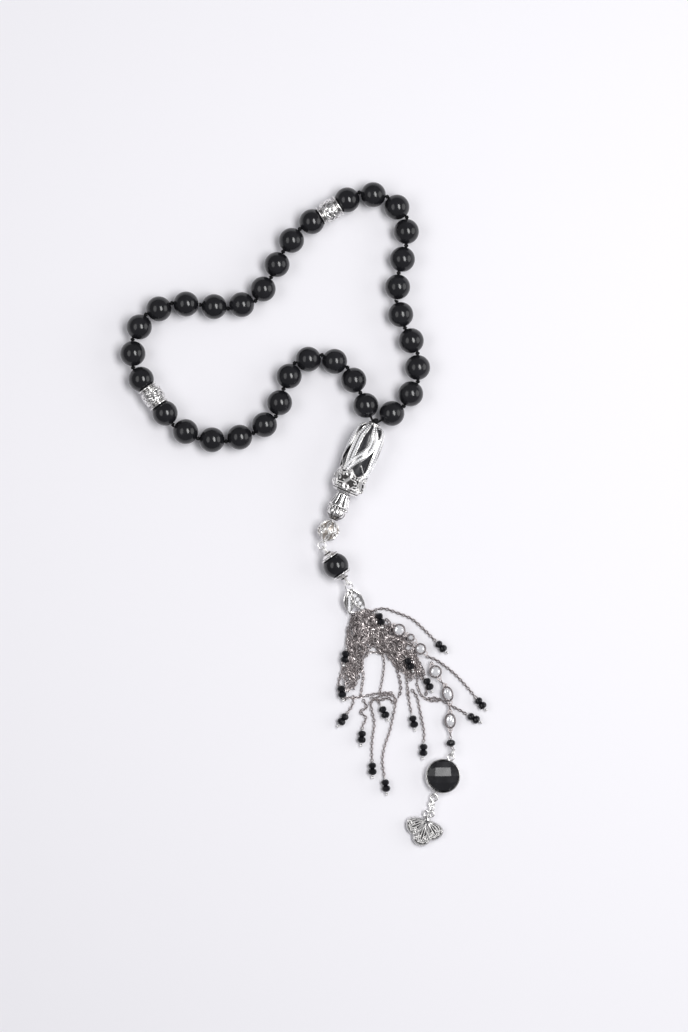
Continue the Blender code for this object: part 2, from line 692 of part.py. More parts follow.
def build_stone(eye, black, silver):
    """The bezel with its two lugs, and the domed stone in it."""
    run = unit((*STONE_HEADING, 0))
    stone, inner = STONE_DIAMETER / 2, STONE_DIAMETER / 2 + GAP
    outer = inner + BEZEL_WALL
    reach = outer + LUG_RADIUS - 0.15
    centre = eye + run * (EYE_PITCH + reach)
    centre[2] = 0.0
    place = Matrix.Translation(Vector(centre) * MM) @ Matrix.Rotation(
        math.atan2(run[1], run[0]), 4, "Z")
    cup = [(0, 0), (0, outer - 0.5), (0.5, outer - 0.1), (BEZEL_HEIGHT, outer),
           (BEZEL_HEIGHT, inner), (BEZEL_BACK, inner), (BEZEL_BACK, 0)]
    bezel = link("stone_bezel", turned("stone_bezel", cup, 24, closed=False), silver)
    bezel.matrix_world = place
    lugs = [lug("lug_upper", (-reach, 0, eye[2] - centre[2]), True, silver),
            lug("lug_lower", (reach, 0, LUG_RADIUS + 0.45), False, silver)]
    for ring in lugs:
        ring.matrix_world = place
        join = bezel.modifiers.new("join", "BOOLEAN")
        join.operation = "UNION"
        join.object = ring
    seat = BEZEL_BACK + GAP
    dome = [(seat, 0), (seat, stone - 0.5), (seat + 0.5, stone), (seat + 1.2, stone),
            (seat + 2.3, stone * 0.84), (seat + 3.0, stone * 0.55),
            (seat + STONE_HEIGHT, stone * 0.24), (seat + STONE_HEIGHT, 0)]
    gem = link("black_stone", turned("black_stone", dome, 20, closed=False), black)
    gem.matrix_world = place
    return centre + run * reach + np.array([0, 0, LUG_RADIUS + 0.45])


def charm_outlines():
    """A fan of leaves in its own plane, y down it, with its ring's centre at 0, 0."""
    ring = arc((0, 0), 1.35, 115, 425, 13)
    boss = np.array([0.0, CHARM_NECK])
    outline, holes = [(0.55, CHARM_NECK - 2.3)], [arc((0, 0), 0.75, 0, 330, 12)]
    for share in np.linspace(1, -1, 46):
        angle = share * math.radians(CHARM_SPREAD)
        reach = CHARM_REACH * (1 - 0.32 * share * share)
        reach *= 0.80 + 0.20 * math.sqrt(abs(math.cos(CHARM_LEAVES * share * math.pi / 2)))
        outline.append(tuple(boss + reach * np.array([math.sin(angle), math.cos(angle)])))
    outline.append((-0.55, CHARM_NECK - 2.3))
    for leaf in range(CHARM_LEAVES):
        share = 2 * (leaf + 0.5) / CHARM_LEAVES - 1
        angle = share * math.radians(CHARM_SPREAD)
        way = np.array([math.sin(angle), math.cos(angle)])
        side = np.array([way[1], -way[0]])
        middle = boss + way * CHARM_REACH * (1 - 0.32 * share * share) * 0.60
        turns = np.linspace(0, 2 * math.pi, 12, endpoint=False)
        holes.append([tuple(middle + way * 1.9 * math.cos(a) + side * 0.95 * math.sin(a))
                      for a in turns])
    return [ring + outline] + holes


def build_charm(lug_centre, silver):
    """The openwork fan that hangs from the stone's lower lug."""
    run = unit((*CHARM_HEADING, 0))
    centre = lug_centre + run * 1.05
    charm = link("charm", plate("charm", charm_outlines(), CHARM_THICKNESS), silver)
    down = Vector(run)
    side = Vector((0, 0, 1)).cross(down)
    level = Matrix((-side, down, Vector((0, 0, -1)))).transposed().to_4x4()
    charm.matrix_world = Matrix.Translation(Vector(centre) * MM) @ level


def settle():
    """Move the whole set so that the origin is the middle of its footprint, on the surface."""
    bpy.context.view_layer.update()
    read = bpy.context.evaluated_depsgraph_get()
    corners = []
    for piece in bpy.context.scene.objects:
        if piece.type != "EMPTY" and not piece.hide_render:
            seen = piece.evaluated_get(read)
            mesh = seen.to_mesh()
            flat = np.empty(len(mesh.vertices) * 3)
            mesh.vertices.foreach_get("co", flat)
            spots = np.c_[flat.reshape(-1, 3), np.ones(len(mesh.vertices))]
            corners.append((spots @ np.array(seen.matrix_world).T)[:, :3])
            seen.to_mesh_clear()
    spots = np.vstack(corners)
    middle = (spots.min(axis=0) + spots.max(axis=0)) / 2
    shift = Matrix.Translation((-middle[0], -middle[1], -spots[:, 2].min()))
    for piece in bpy.context.scene.objects:
        if piece.parent is None:
            piece.matrix_world = shift @ piece.matrix_world
    bpy.context.view_layer.update()


def main():
    """Build the whole set."""
    clear_scene()
    onyx = finish("onyx", (0.012, 0.012, 0.015), 0.08, 0.0)
    enamel = finish("black_enamel", (0.015, 0.015, 0.018), 0.12, 0.0)
    silver = finish("silver", (0.80, 0.79, 0.77), 0.25, 1.0)
    dark_silver = finish("oxidised_silver", (0.35, 0.34, 0.33), 0.38, 1.0)
    chain = finish("chain", (0.42, 0.38, 0.37), 0.30, 1.0)
    thread = finish("thread", (0.02, 0.02, 0.022), 0.70, 0.0)

    build_loop(onyx, silver, thread)
    head_eye = build_head(enamel, silver, dark_silver)
    pin_eye = build_pendant(head_eye, onyx, silver)
    build_bail(pin_eye, silver)
    build_bundle(chain)
    chain_tail("tail_top", TOP_ARC_ROUTE, False, chain)
    chain_tail("tail_right", RIGHT_TAIL_ROUTE, False, chain)
    chain_tail("tail_centre", CENTRE_TAIL_ROUTE, True, chain)
    chain_tail("tail_inner", INNER_TAIL_ROUTE, True, chain)
    chain_tail("tail_left", LEFT_TAIL_ROUTE, True, chain)
    strand_eye = build_strand(silver)
    stone_lug = build_stone(strand_eye, onyx, silver)
    build_charm(stone_lug, silver)
    settle()


main()
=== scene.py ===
"""The looks of the prayer beads: polished onyx on knotted thread, worked silver and fine chain.

Every piece is worked out in millimetres with numpy and written to its mesh in metres.
"""

import json
import logging
import math
from dataclasses import dataclass
from enum import Enum
from typing import Callable, Sequence

import bmesh
import bpy
import numpy as np
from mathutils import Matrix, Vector


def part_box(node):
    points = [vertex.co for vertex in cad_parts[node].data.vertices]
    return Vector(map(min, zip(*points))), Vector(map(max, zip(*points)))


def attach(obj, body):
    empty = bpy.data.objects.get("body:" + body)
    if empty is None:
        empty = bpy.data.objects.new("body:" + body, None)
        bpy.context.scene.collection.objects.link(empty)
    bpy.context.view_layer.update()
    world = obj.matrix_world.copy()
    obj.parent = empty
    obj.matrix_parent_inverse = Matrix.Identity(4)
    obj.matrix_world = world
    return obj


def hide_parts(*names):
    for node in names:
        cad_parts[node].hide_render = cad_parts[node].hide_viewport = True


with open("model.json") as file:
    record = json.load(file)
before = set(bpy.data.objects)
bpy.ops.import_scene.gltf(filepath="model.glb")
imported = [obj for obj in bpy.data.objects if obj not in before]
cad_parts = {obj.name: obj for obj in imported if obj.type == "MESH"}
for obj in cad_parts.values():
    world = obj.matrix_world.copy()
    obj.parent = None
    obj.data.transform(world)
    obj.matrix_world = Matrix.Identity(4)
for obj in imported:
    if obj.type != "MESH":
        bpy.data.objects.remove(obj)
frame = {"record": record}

MM = 0.001
TAU = 2 * math.pi
LOG = logging.getLogger("prayer_beads")
Points = np.ndarray
X_AXIS, Y_AXIS, UP = np.eye(3)
# where the head's mouth lies on the layout plane, in millimetres
MOUTH = np.array([21.8, 29.4, 5.75])
# the radius of the eyes on the pins, the bail and the strand, to the middle of the wire
EYE = 1.2


# ---------------------------------------------------------------- shapes

@dataclass
class Shape:
    """Points in millimetres with faces on them.

    Attributes:
        points: One row for each point.
        faces: Four point numbers for each face.
        shade: How much painted shade each point takes, from 0 to 1; it darkens hollows where shade
            falls.
        slots: The finish number of each face.
    """

    points: Points
    faces: Points
    shade: Points
    slots: Points

    def __add__(self, other: "Shape") -> "Shape":
        """Both shapes as one."""
        return Shape(
            np.vstack([self.points, other.points]),
            np.vstack([self.faces, other.faces + len(self.points)]),
            np.concatenate([self.shade, other.shade]),
            np.concatenate([self.slots, other.slots]),
        )

    def placed(self, place: "Place") -> "Shape":
        """The shape carried from a place's own axes to the set's."""
        return Shape(place.out(self.points), self.faces, self.shade, self.slots)

    def finished(self, slot: int) -> "Shape":
        """The shape with one finish number all over."""
        return Shape(self.points, self.faces, self.shade, np.full(len(self.faces), slot))

    def shaded(self, value: float) -> "Shape":
        """The shape with one amount of painted shade all over."""
        return Shape(self.points, self.faces, np.full(len(self.points), value), self.slots)


def joined(shapes: Sequence[Shape]) -> Shape:
    """Several shapes as one.

    Args:
        shapes: The shapes to put together.

    Returns:
        One shape with all their points and faces.
    """
    starts = np.cumsum([0] + [len(s.points) for s in shapes[:-1]])
    return Shape(
        np.vstack([s.points for s in shapes]),
        np.vstack([s.faces + start for s, start in zip(shapes, starts)]),
        np.concatenate([s.shade for s in shapes]),
        np.concatenate([s.slots for s in shapes]),
    )


@dataclass(frozen=True)
class Place:
    """An origin and three axes: rows of turn are the local X, Y and Z in the set's axes."""

    origin: Points
    turn: Points

    def out(self, points: Points) -> Points:
        """Local points in the set's axes."""
        return points @ self.turn + self.origin

    @staticmethod
    def along(origin: Points, direction: Points) -> "Place":
        """A place whose Z runs along a direction and whose X points up.

        Args:
            origin: Where it stands, in millimetres.
            direction: The way its Z runs.

        Returns:
            The place.
        """
        z = unit(direction)
        x = unit(UP - z * (UP @ z))
        return Place(np.asarray(origin, float), np.array([x, np.cross(z, x), z]))

    @staticmethod
    def flat(origin: Points, direction: Points) -> "Place":
        """A place whose Z points up and whose Y runs along a level direction."""
        y = unit(np.array([direction[0], direction[1], 0.0]))
        return Place(np.asarray(origin, float), np.array([np.cross(y, UP), y, UP]))


def unit(vector: Points) -> Points:
    """A vector, or each row of an array, at length one."""
    vector = np.asarray(vector, float)
    return vector / np.linalg.norm(vector, axis=-1, keepdims=True)


def run_of(path: Points) -> Points:
    """The distance along a path at each of its points."""
    return np.concatenate([[0], np.cumsum(np.linalg.norm(np.diff(path, axis=0), axis=1))])


def sheet(points: Points, wrap_rows: bool = False, wrap_columns: bool = False,
          shade: Points | float = 0.0) -> Shape:
    """A sheet of faces over a grid of points.

    Args:
        points: An array of rows, columns and coordinates.
        wrap_rows: Whether the last row joins the first.
        wrap_columns: Whether the last column joins the first.
        shade: The painted shade, for all points or for each.

    Returns:
        The shape: each face joins a point, the next in its row, and the two after them.
    """
    rows, columns = points.shape[:2]
    index = np.arange(rows * columns).reshape(rows, columns)
    if wrap_rows:
        index = np.vstack([index, index[:1]])
    if wrap_columns:
        index = np.hstack([index, index[:, :1]])
    faces = np.stack([index[:-1, :-1], index[:-1, 1:], index[1:, 1:], index[1:, :-1]], -1)
    faces = faces.reshape(-1, 4)
    depth = np.broadcast_to(shade, (rows, columns)).reshape(-1).astype(float)
    return Shape(points.reshape(-1, 3), faces, depth, np.zeros(len(faces), int))


def turned(profile: Points, steps: int, relief: Callable[[Points, Points], Points] | None = None,
           depth: float = 0.4) -> Shape:
    """A profile turned about Z: radius times cosine and sine of the angle, at its height.

    Args:
        profile: Rows of height and radius, from one end to the other.
        steps: How many steps one turn takes.
        relief: Added to the radius, as a function of angle and height.
        depth: The relief's fall that takes full painted shade.

    Returns:
        The shape, closed where the profile's ends are on the axis or meet each other.
    """
    z, r = np.asarray(profile, float).T
    angle = np.linspace(0, TAU, steps, endpoint=False)[None, :]
    heights = np.repeat(z[:, None], steps, axis=1)
    lift = relief(angle, z[:, None]) if relief else np.zeros_like(heights)
    radius = r[:, None] + lift
    grid = np.stack([radius * np.cos(angle), radius * np.sin(angle), heights], -1)
    # painted shade: the relief's hollows are darkened by their depth
    return sheet(grid, wrap_columns=True, shade=np.clip(-lift / depth, 0, 1))


def tube(path: Points, radius: Points | float, sides: int = 8, normal: Points = UP,
         closed: bool = False, flatten: float = 1.0) -> Shape:
    """A tube carried along a path: a circle in the plane across the path at each point.

    Args:
        path: The centreline's points.
        radius: The radius, for all points or for each.
        sides: How many sides the tube has.
        normal: A direction that the path never runs along.
        closed: Whether the path's end joins its start.
        flatten: Height over width of the section, along the normal.

    Returns:
        The shape, with flat ends if it is open.
    """
    path = np.asarray(path, float)
    if closed:
        forward = np.roll(path, -1, 0) - np.roll(path, 1, 0)
    else:
        forward = np.gradient(path, axis=0)
    forward = unit(forward)
    side = unit(np.cross(forward, normal))
    over = np.cross(side, forward)
    radii = np.broadcast_to(radius, len(path)).astype(float)
    if not closed:
        path = np.vstack([path[:1], path, path[-1:]])
        side, over = (np.vstack([a[:1], a, a[-1:]]) for a in (side, over))
        radii = np.concatenate([[0], radii, [0]])
    angle = np.linspace(0, TAU, sides, endpoint=False)[None, :]
    wide = radii[:, None, None]
    grid = (path[:, None] + wide * np.cos(angle)[..., None] * side[:, None]
            + wide * flatten * np.sin(angle)[..., None] * over[:, None])
    return sheet(grid, wrap_rows=closed, wrap_columns=True)


def copies(shape: Shape, origins: Points, turns: Points, sizes: Points | float = 1.0) -> Shape:
    """One shape repeated: each copy is its points, scaled, turned by its axes and moved.

    Args:
        shape: The shape to repeat.
        origins: A row for each copy.
        turns: Three axes for each copy, as rows.
        sizes: The scale, for all copies or for each.

    Returns:
        All the copies as one shape.
    """
    count, per = len(origins), len(shape.points)
    size = np.broadcast_to(sizes, count).astype(float)[:, None, None]
    points = size * (shape.points[None] @ turns) + origins[:, None]
    faces = shape.faces[None] + (per * np.arange(count))[:, None, None]
    return Shape(points.reshape(-1, 3), faces.reshape(-1, 4), np.tile(shape.shade, count),
                 np.tile(shape.slots, count))


def ball(radius: float, steps: int = 12, rows: int = 7) -> Shape:
    """A ball about the origin: a half circle turned about Z."""
    a = np.linspace(0, math.pi, rows)
    return turned(np.stack([-radius * np.cos(a), radius * np.sin(a)], -1), steps)


def cut_stone(rows: Sequence[tuple[float, float]], sides: int) -> Shape:
    """A faceted stone: rings of points at (height, radius), each turned half a facet on.

    Args:
        rows: Height and radius of each ring, from the foot to the table.
        sides: How many facets go round.

    Returns:
        The stone, with flat ends.
    """
    table = np.array([(rows[0][0], 0.0), *rows, (rows[-1][0], 0.0)])
    angle = np.linspace(0, TAU, sides, endpoint=False)[None, :]
    angle = angle + (np.arange(len(table)) % 2)[:, None] * math.pi / sides
    r, z = table[:, 1:], np.repeat(table[:, :1], sides, axis=1)
    return sheet(np.stack([r * np.cos(angle), r * np.sin(angle), z], -1), wrap_columns=True)


def smooth(route: Sequence[Sequence[float]], spacing: float, closed: bool = False) -> Points:
    """Evenly spaced points on the smooth curve through a route's own points.

    Args:
        route: The points to pass through.
        spacing: The distance between the points that come back, in millimetres.
        closed: Whether the curve returns to its start.

    Returns:
        The points: each span is the cubic that leaves and meets its ends along the line
        between their neighbours.
    """
    points = np.array(route, float)
    if closed:
        points = np.vstack([points[-1:], points, points[:2]])
    else:
        points = np.vstack([2 * points[:1] - points[1:2], points, 2 * points[-1:] - points[-2:-1]])
    a, b, c, d = (points[i:len(points) - 3 + i, None] for i in range(4))
    t = np.linspace(0, 1, 24, endpoint=False)[None, :, None]
    curve = 0.5 * (2 * b + (c - a) * t + (2 * a - 5 * b + 4 * c - d) * t ** 2
                   + (3 * b - a - 3 * c + d) * t ** 3)
    curve = np.vstack([curve.reshape(-1, points.shape[1]), points[-2][None]])
    run = run_of(curve)
    count = max(3, round(run[-1] / spacing) + 1)
    at = np.linspace(0, run[-1], count)[: -1 if closed else None]
    return np.stack([np.interp(at, run, curve[:, i]) for i in range(curve.shape[1])], -1)


def s_scroll(size: float, reach: float = 2.3, count: int = 40) -> Points:
    """An S scroll in a plane: a curve whose heading grows with the square of its run.

    Args:
        size: The scroll's greater extent.
        reach: How far each end winds up.
        count: How many points it has.

    Returns:
        The points, with their mean at the origin.
    """
    t = np.linspace(-reach, reach, count)
    step = np.stack([np.cos(t * t), np.sin(t * t)], -1) * (t[1] - t[0])
    path = np.cumsum(step, axis=0)
    path -= path.mean(axis=0)
    return path * size / np.ptp(path, axis=0).max()


def wound(radius: float, start: float, end: float, count: int = 60) -> Points:
    """Three turns of wire wound about Z between two heights."""
    a = np.linspace(0, 3 * TAU, count)
    return np.stack([radius * np.cos(a), radius * np.sin(a), np.linspace(start, end, count)], -1)


def ring_path(radius: float, count: int = 24) -> Points:
    """A circle in local XY."""
    a = np.linspace(0, TAU, count, endpoint=False)
    return np.stack([radius * np.cos(a), radius * np.sin(a), np.zeros(count)], -1)


class Facing(Enum):
    """How a ring stands: the circle's own column that each of the three axes takes."""

    LEVEL = (0, 1, 2)
    TOWARDS_Y = (0, 2, 1)
    TOWARDS_X = (2, 0, 1)
    AGAINST_X = (2, 1, 0)


def ring(radius: float, wire: float, centre: Sequence[float] = (0, 0, 0),
         facing: Facing = Facing.LEVEL, sides: int = 8, count: int = 24,
         stretch: Sequence[float] = (1, 1, 1), flatten: float = 1.0) -> Shape:
    """A closed ring of wire: a circle that is stretched, stood on its axis and moved.

    Args:
        radius: From the middle to the wire's middle.
        wire: The wire's radius.
        centre: Where its middle is.
        facing: How it stands.
        sides: How many sides the wire has.
        count: How many points go round.
        stretch: The circle's scale on its own axes.
        flatten: Height over width of the wire.

    Returns:
        The ring.
    """
    order = list(facing.value)
    path = (ring_path(radius, count) * stretch)[:, order] + centre
    return tube(path, wire, sides, np.eye(3)[order.index(2)], closed=True, flatten=flatten)


def double_eye(at: float, facing: Facing, wire: float = 0.22, apart: float = 0.19,
               sides: int = 8) -> list[Shape]:
    """A pin's eye: two rings of wire side by side, with their middle on Z.

    Args:
        at: How far along Z it is.
        facing: How it stands.
        wire: The wire's radius.
        apart: From the eye's middle to each ring.
        sides: How many sides the wire has.

    Returns:
        The two rings.
    """
    across = np.eye(3)[facing.value.index(2)]
    return [ring(EYE, wire, apart * way * across + at * UP, facing, sides) for way in (-1, 1)]


# ---------------------------------------------------------------- finishes

class Slot(Enum):
    """The record's names for what the pieces are made of."""

    ONYX = "onyx"
    ENAMEL = "enamel"
    SILVER = "silver"
    DARK_SILVER = "oxidised_silver"
    CHAIN = "chain"
    THREAD = "thread"


@dataclass(frozen=True)
class Finish:
    """A surface with fine colour and gloss variation on Object coordinates.

    Attributes:
        name: The material's name.
        colour: The main colour.
        fleck_and_shade_colour: The colour of its flecks, and of the painted shade in its hollows.
        metallic: 1 for bare metal.
        gloss: Lowest and highest roughness.
        grain: How many patches of variation fit in a millimetre.
        bump: The depth of the fine surface, in millimetres.
        painted_shade: Whether the shape's painted shade attribute darkens it.
        coat: The weight of a clear polish over it.
        index: The index of refraction.
    """

    name: str
    colour: tuple[float, float, float]
    fleck_and_shade_colour: tuple[float, float, float]
    metallic: float = 0.0
    gloss: tuple[float, float] = (0.1, 0.2)
    grain: float = 0.8
    bump: float = 0.0
    painted_shade: bool = False
    coat: float = 0.0
    index: float = 1.5

    @staticmethod
    def ranged(tree: bpy.types.NodeTree, value: bpy.types.NodeSocket,
               span: tuple[float, float], onto: tuple[float, float]) -> bpy.types.NodeSocket:
        """A value carried from one span onto another.

        Args:
            tree: The material's nodes.
            value: What is carried.
            span: The lowest and highest value that counts.
            onto: What they become.

        Returns:
            The result's socket.
        """
        node = tree.nodes.new("ShaderNodeMapRange")
        for side, number in zip(("From Min", "From Max", "To Min", "To Max"), span + onto):
            node.inputs[side].default_value = number
        tree.links.new(value, node.inputs["Value"])
        return node.outputs["Result"]

    def build(self) -> bpy.types.Material:
        """Make the material.

        Returns:
            A Principled material: noise sets its roughness and flecks, and the painted shade
            attribute, where it is used, mixes in the fleck and shade colour as painted shade.
        """
        made = bpy.data.materials.new(self.name)
        made.use_nodes = True
        tree = made.node_tree
        shader = tree.nodes["Principled BSDF"]
        for socket, value in (("Metallic", self.metallic), ("IOR", self.index),
                              ("Coat Weight", self.coat), ("Coat Roughness", 0.05)):
            shader.inputs[socket].default_value = value
        where = tree.nodes.new("ShaderNodeTexCoord")
        noise = tree.nodes.new("ShaderNodeTexNoise")
        noise.inputs["Scale"].default_value = self.grain * 1000
        noise.inputs["Detail"].default_value = 3.0
        tree.links.new(where.outputs["Object"], noise.inputs["Vector"])
        rough = self.ranged(tree, noise.outputs["Fac"], (0.35, 0.65), self.gloss)
        tree.links.new(rough, shader.inputs["Roughness"])
        share = self.ranged(tree, noise.outputs["Fac"], (0.45, 0.75), (0.0, 0.35))
        # painted shade: the shape's attribute darkens its hollows towards the fleck and shade
        # colour
        if self.painted_shade:
            attribute = tree.nodes.new("ShaderNodeAttribute")
            attribute.attribute_name = "painted_shade"
            most = tree.nodes.new("ShaderNodeMath")
            most.operation = "MAXIMUM"
            tree.links.new(attribute.outputs["Fac"], most.inputs[0])
            tree.links.new(share, most.inputs[1])
            share = most.outputs["Value"]
        mix = tree.nodes.new("ShaderNodeMix")
        mix.data_type = "RGBA"
        mix.inputs["A"].default_value = (*self.colour, 1)
        mix.inputs["B"].default_value = (*self.fleck_and_shade_colour, 1)
        tree.links.new(share, mix.inputs["Factor"])
        tree.links.new(mix.outputs["Result"], shader.inputs["Base Color"])
        if self.bump:
            bump = tree.nodes.new("ShaderNodeBump")
            bump.inputs["Distance"].default_value = self.bump * MM
            bump.inputs["Strength"].default_value = 0.6
            tree.links.new(noise.outputs["Fac"], bump.inputs["Height"])
            tree.links.new(bump.outputs["Normal"], shader.inputs["Normal"])
        return made


class Finishes:
    """Every finish of the set, made once."""

    def __init__(self) -> None:
        """Make the materials."""
        self.onyx = Finish("polished onyx", (0.010, 0.010, 0.012), (0.022, 0.022, 0.026),
                           gloss=(0.13, 0.19), grain=0.25, index=1.46).build()
        self.jet = Finish("faceted black glass", (0.006, 0.006, 0.008), (0.02, 0.02, 0.024),
                          gloss=(0.12, 0.22), grain=0.5, index=1.42).build()
        self.stone = Finish("faceted black stone", (0.012, 0.012, 0.014), (0.022, 0.022, 0.026),
                            gloss=(0.16, 0.24), grain=0.3, index=1.5).build()
        self.enamel = Finish("grey-black enamel", (0.022, 0.022, 0.026), (0.045, 0.045, 0.05),
                             gloss=(0.22, 0.32), grain=0.4, coat=0.4).build()
        # polished silver; its dark colour is fleck tone and, where the shape's attribute asks,
        # painted shade
        self.silver = Finish("polished silver", (0.92, 0.91, 0.90), (0.06, 0.055, 0.055), 1.0,
                             (0.14, 0.24), 1.2, 0.01, True).build()
        self.bright = Finish("bright silver wire", (0.95, 0.94, 0.93), (0.62, 0.60, 0.59), 0.9,
                             (0.26, 0.38), 1.5, 0.005).build()
        # the filigree bead's lining: silver painted dark as the shadow inside the hollow bead
        self.shadow_lining = Finish("silver lining in painted shadow", (0.52, 0.47, 0.43), (0.30, 0.26, 0.24), 0.9,
                           (0.35, 0.50), 1.5, 0.02).build()
        # the crown's body: silver painted dark as the shade behind the scrolls
        self.dark = Finish("oxidised silver", (0.055, 0.052, 0.052), (0.015, 0.015, 0.015), 0.7,
                           (0.30, 0.45), 1.5, 0.02).build()
        # the chain's own colour is oxidised; its dark colour, where the links ask, is painted shade
        self.chain = Finish("oxidised chain with painted shade", (0.60, 0.55, 0.545), (0.055, 0.042, 0.045), 0.85,
                            (0.30, 0.46), 1.4, 0.01, True).build()
        self.crystal = Finish("clear crystal", (0.90, 0.90, 0.93), (0.60, 0.60, 0.64), 0.45,
                              (0.05, 0.12), 1.6, coat=1.0).build()
        self.pave = Finish("white pave stones", (0.96, 0.96, 0.98), (0.80, 0.80, 0.84), 0.15,
                           (0.08, 0.16), 1.6, coat=1.0).build()
        self.thread = Finish("waxed black thread", (0.006, 0.006, 0.007), (0.02, 0.02, 0.022),
                             gloss=(0.55, 0.80), grain=5.0, bump=0.05, index=1.3).build()


# ---------------------------------------------------------------- putting pieces in

def put(name: str, shape: Shape, finishes: Sequence[bpy.types.Material], body: str,
        replaces: Sequence[str] = (), crease: float = 40.0, weld: bool = True) -> bpy.types.Object:
    """Make an object of a shape, dress it, and hang it on its body.

    Args:
        name: The object's name.
        shape: What it looks like, in millimetres in the set's axes.
        finishes: The materials that its finish numbers count into.
        body: The moving body that it rides.
        replaces: The plain solids that it stands for.
        crease: The angle in degrees from which an edge is sharp.
        weld: Whether seams and poles have doubled points to join.

    Returns:
        The object.
    """
    mesh = bpy.data.meshes.new(name)
    mesh.from_pydata((shape.points * MM).tolist(), [], shape.faces.tolist())
    mesh.polygons.foreach_set("material_index", shape.slots.astype(np.int32))
    # painted shade for the hollows, read by the finishes that darken with it
    layer = mesh.attributes.new("painted_shade", "FLOAT", "POINT")
    layer.data.foreach_set("value", shape.shade.astype(np.float32))
    if weld:
        work = bmesh.new()
        work.from_mesh(mesh)
        bmesh.ops.remove_doubles(work, verts=work.verts, dist=1e-7)
        bmesh.ops.recalc_face_normals(work, faces=work.faces)
        work.to_mesh(mesh)
        work.free()
    for finish in finishes:
        mesh.materials.append(finish)
    mesh.shade_smooth()
    mesh.set_sharp_from_angle(angle=math.radians(crease))
    made = bpy.data.objects.new(name, mesh)
    bpy.context.collection.objects.link(made)
    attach(made, body)
    if replaces:
        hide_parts(*replaces)
    LOG.info("%s: %d faces on %s", name, len(mesh.polygons), body)
    return made


class Layout:
    """Where the joints and solids of the frame lie, in millimetres."""

    def __init__(self) -> None:
        """Read the frame."""
        self.joints = {j["name"]: j for j in frame["record"]["behaviour"]["joints"]}
        self.mouth = self.at("loop_swing")
        self.shift = self.mouth - MOUTH

    def at(self, joint: str) -> Points:
        """A joint's place."""
        return np.array(self.joints[joint]["pos_m"]) / MM

    def axis(self, joint: str) -> Points:
        """A joint's axis."""
        return unit(np.array(self.joints[joint]["axis"]))

    def plan(self, route: Sequence[Sequence[float]], height: float) -> Points:
        """A route on the layout plane, in the set's axes at one height."""
        flat = np.array(route, float)
        return np.column_stack([flat, np.full(len(flat), height)]) + self.shift

    def middle(self, node: str) -> Points:
        """The middle of a solid's box."""
        low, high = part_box(node)
        return (np.array(low) + np.array(high)) / 2 / MM


# ---------------------------------------------------------------- bead loop

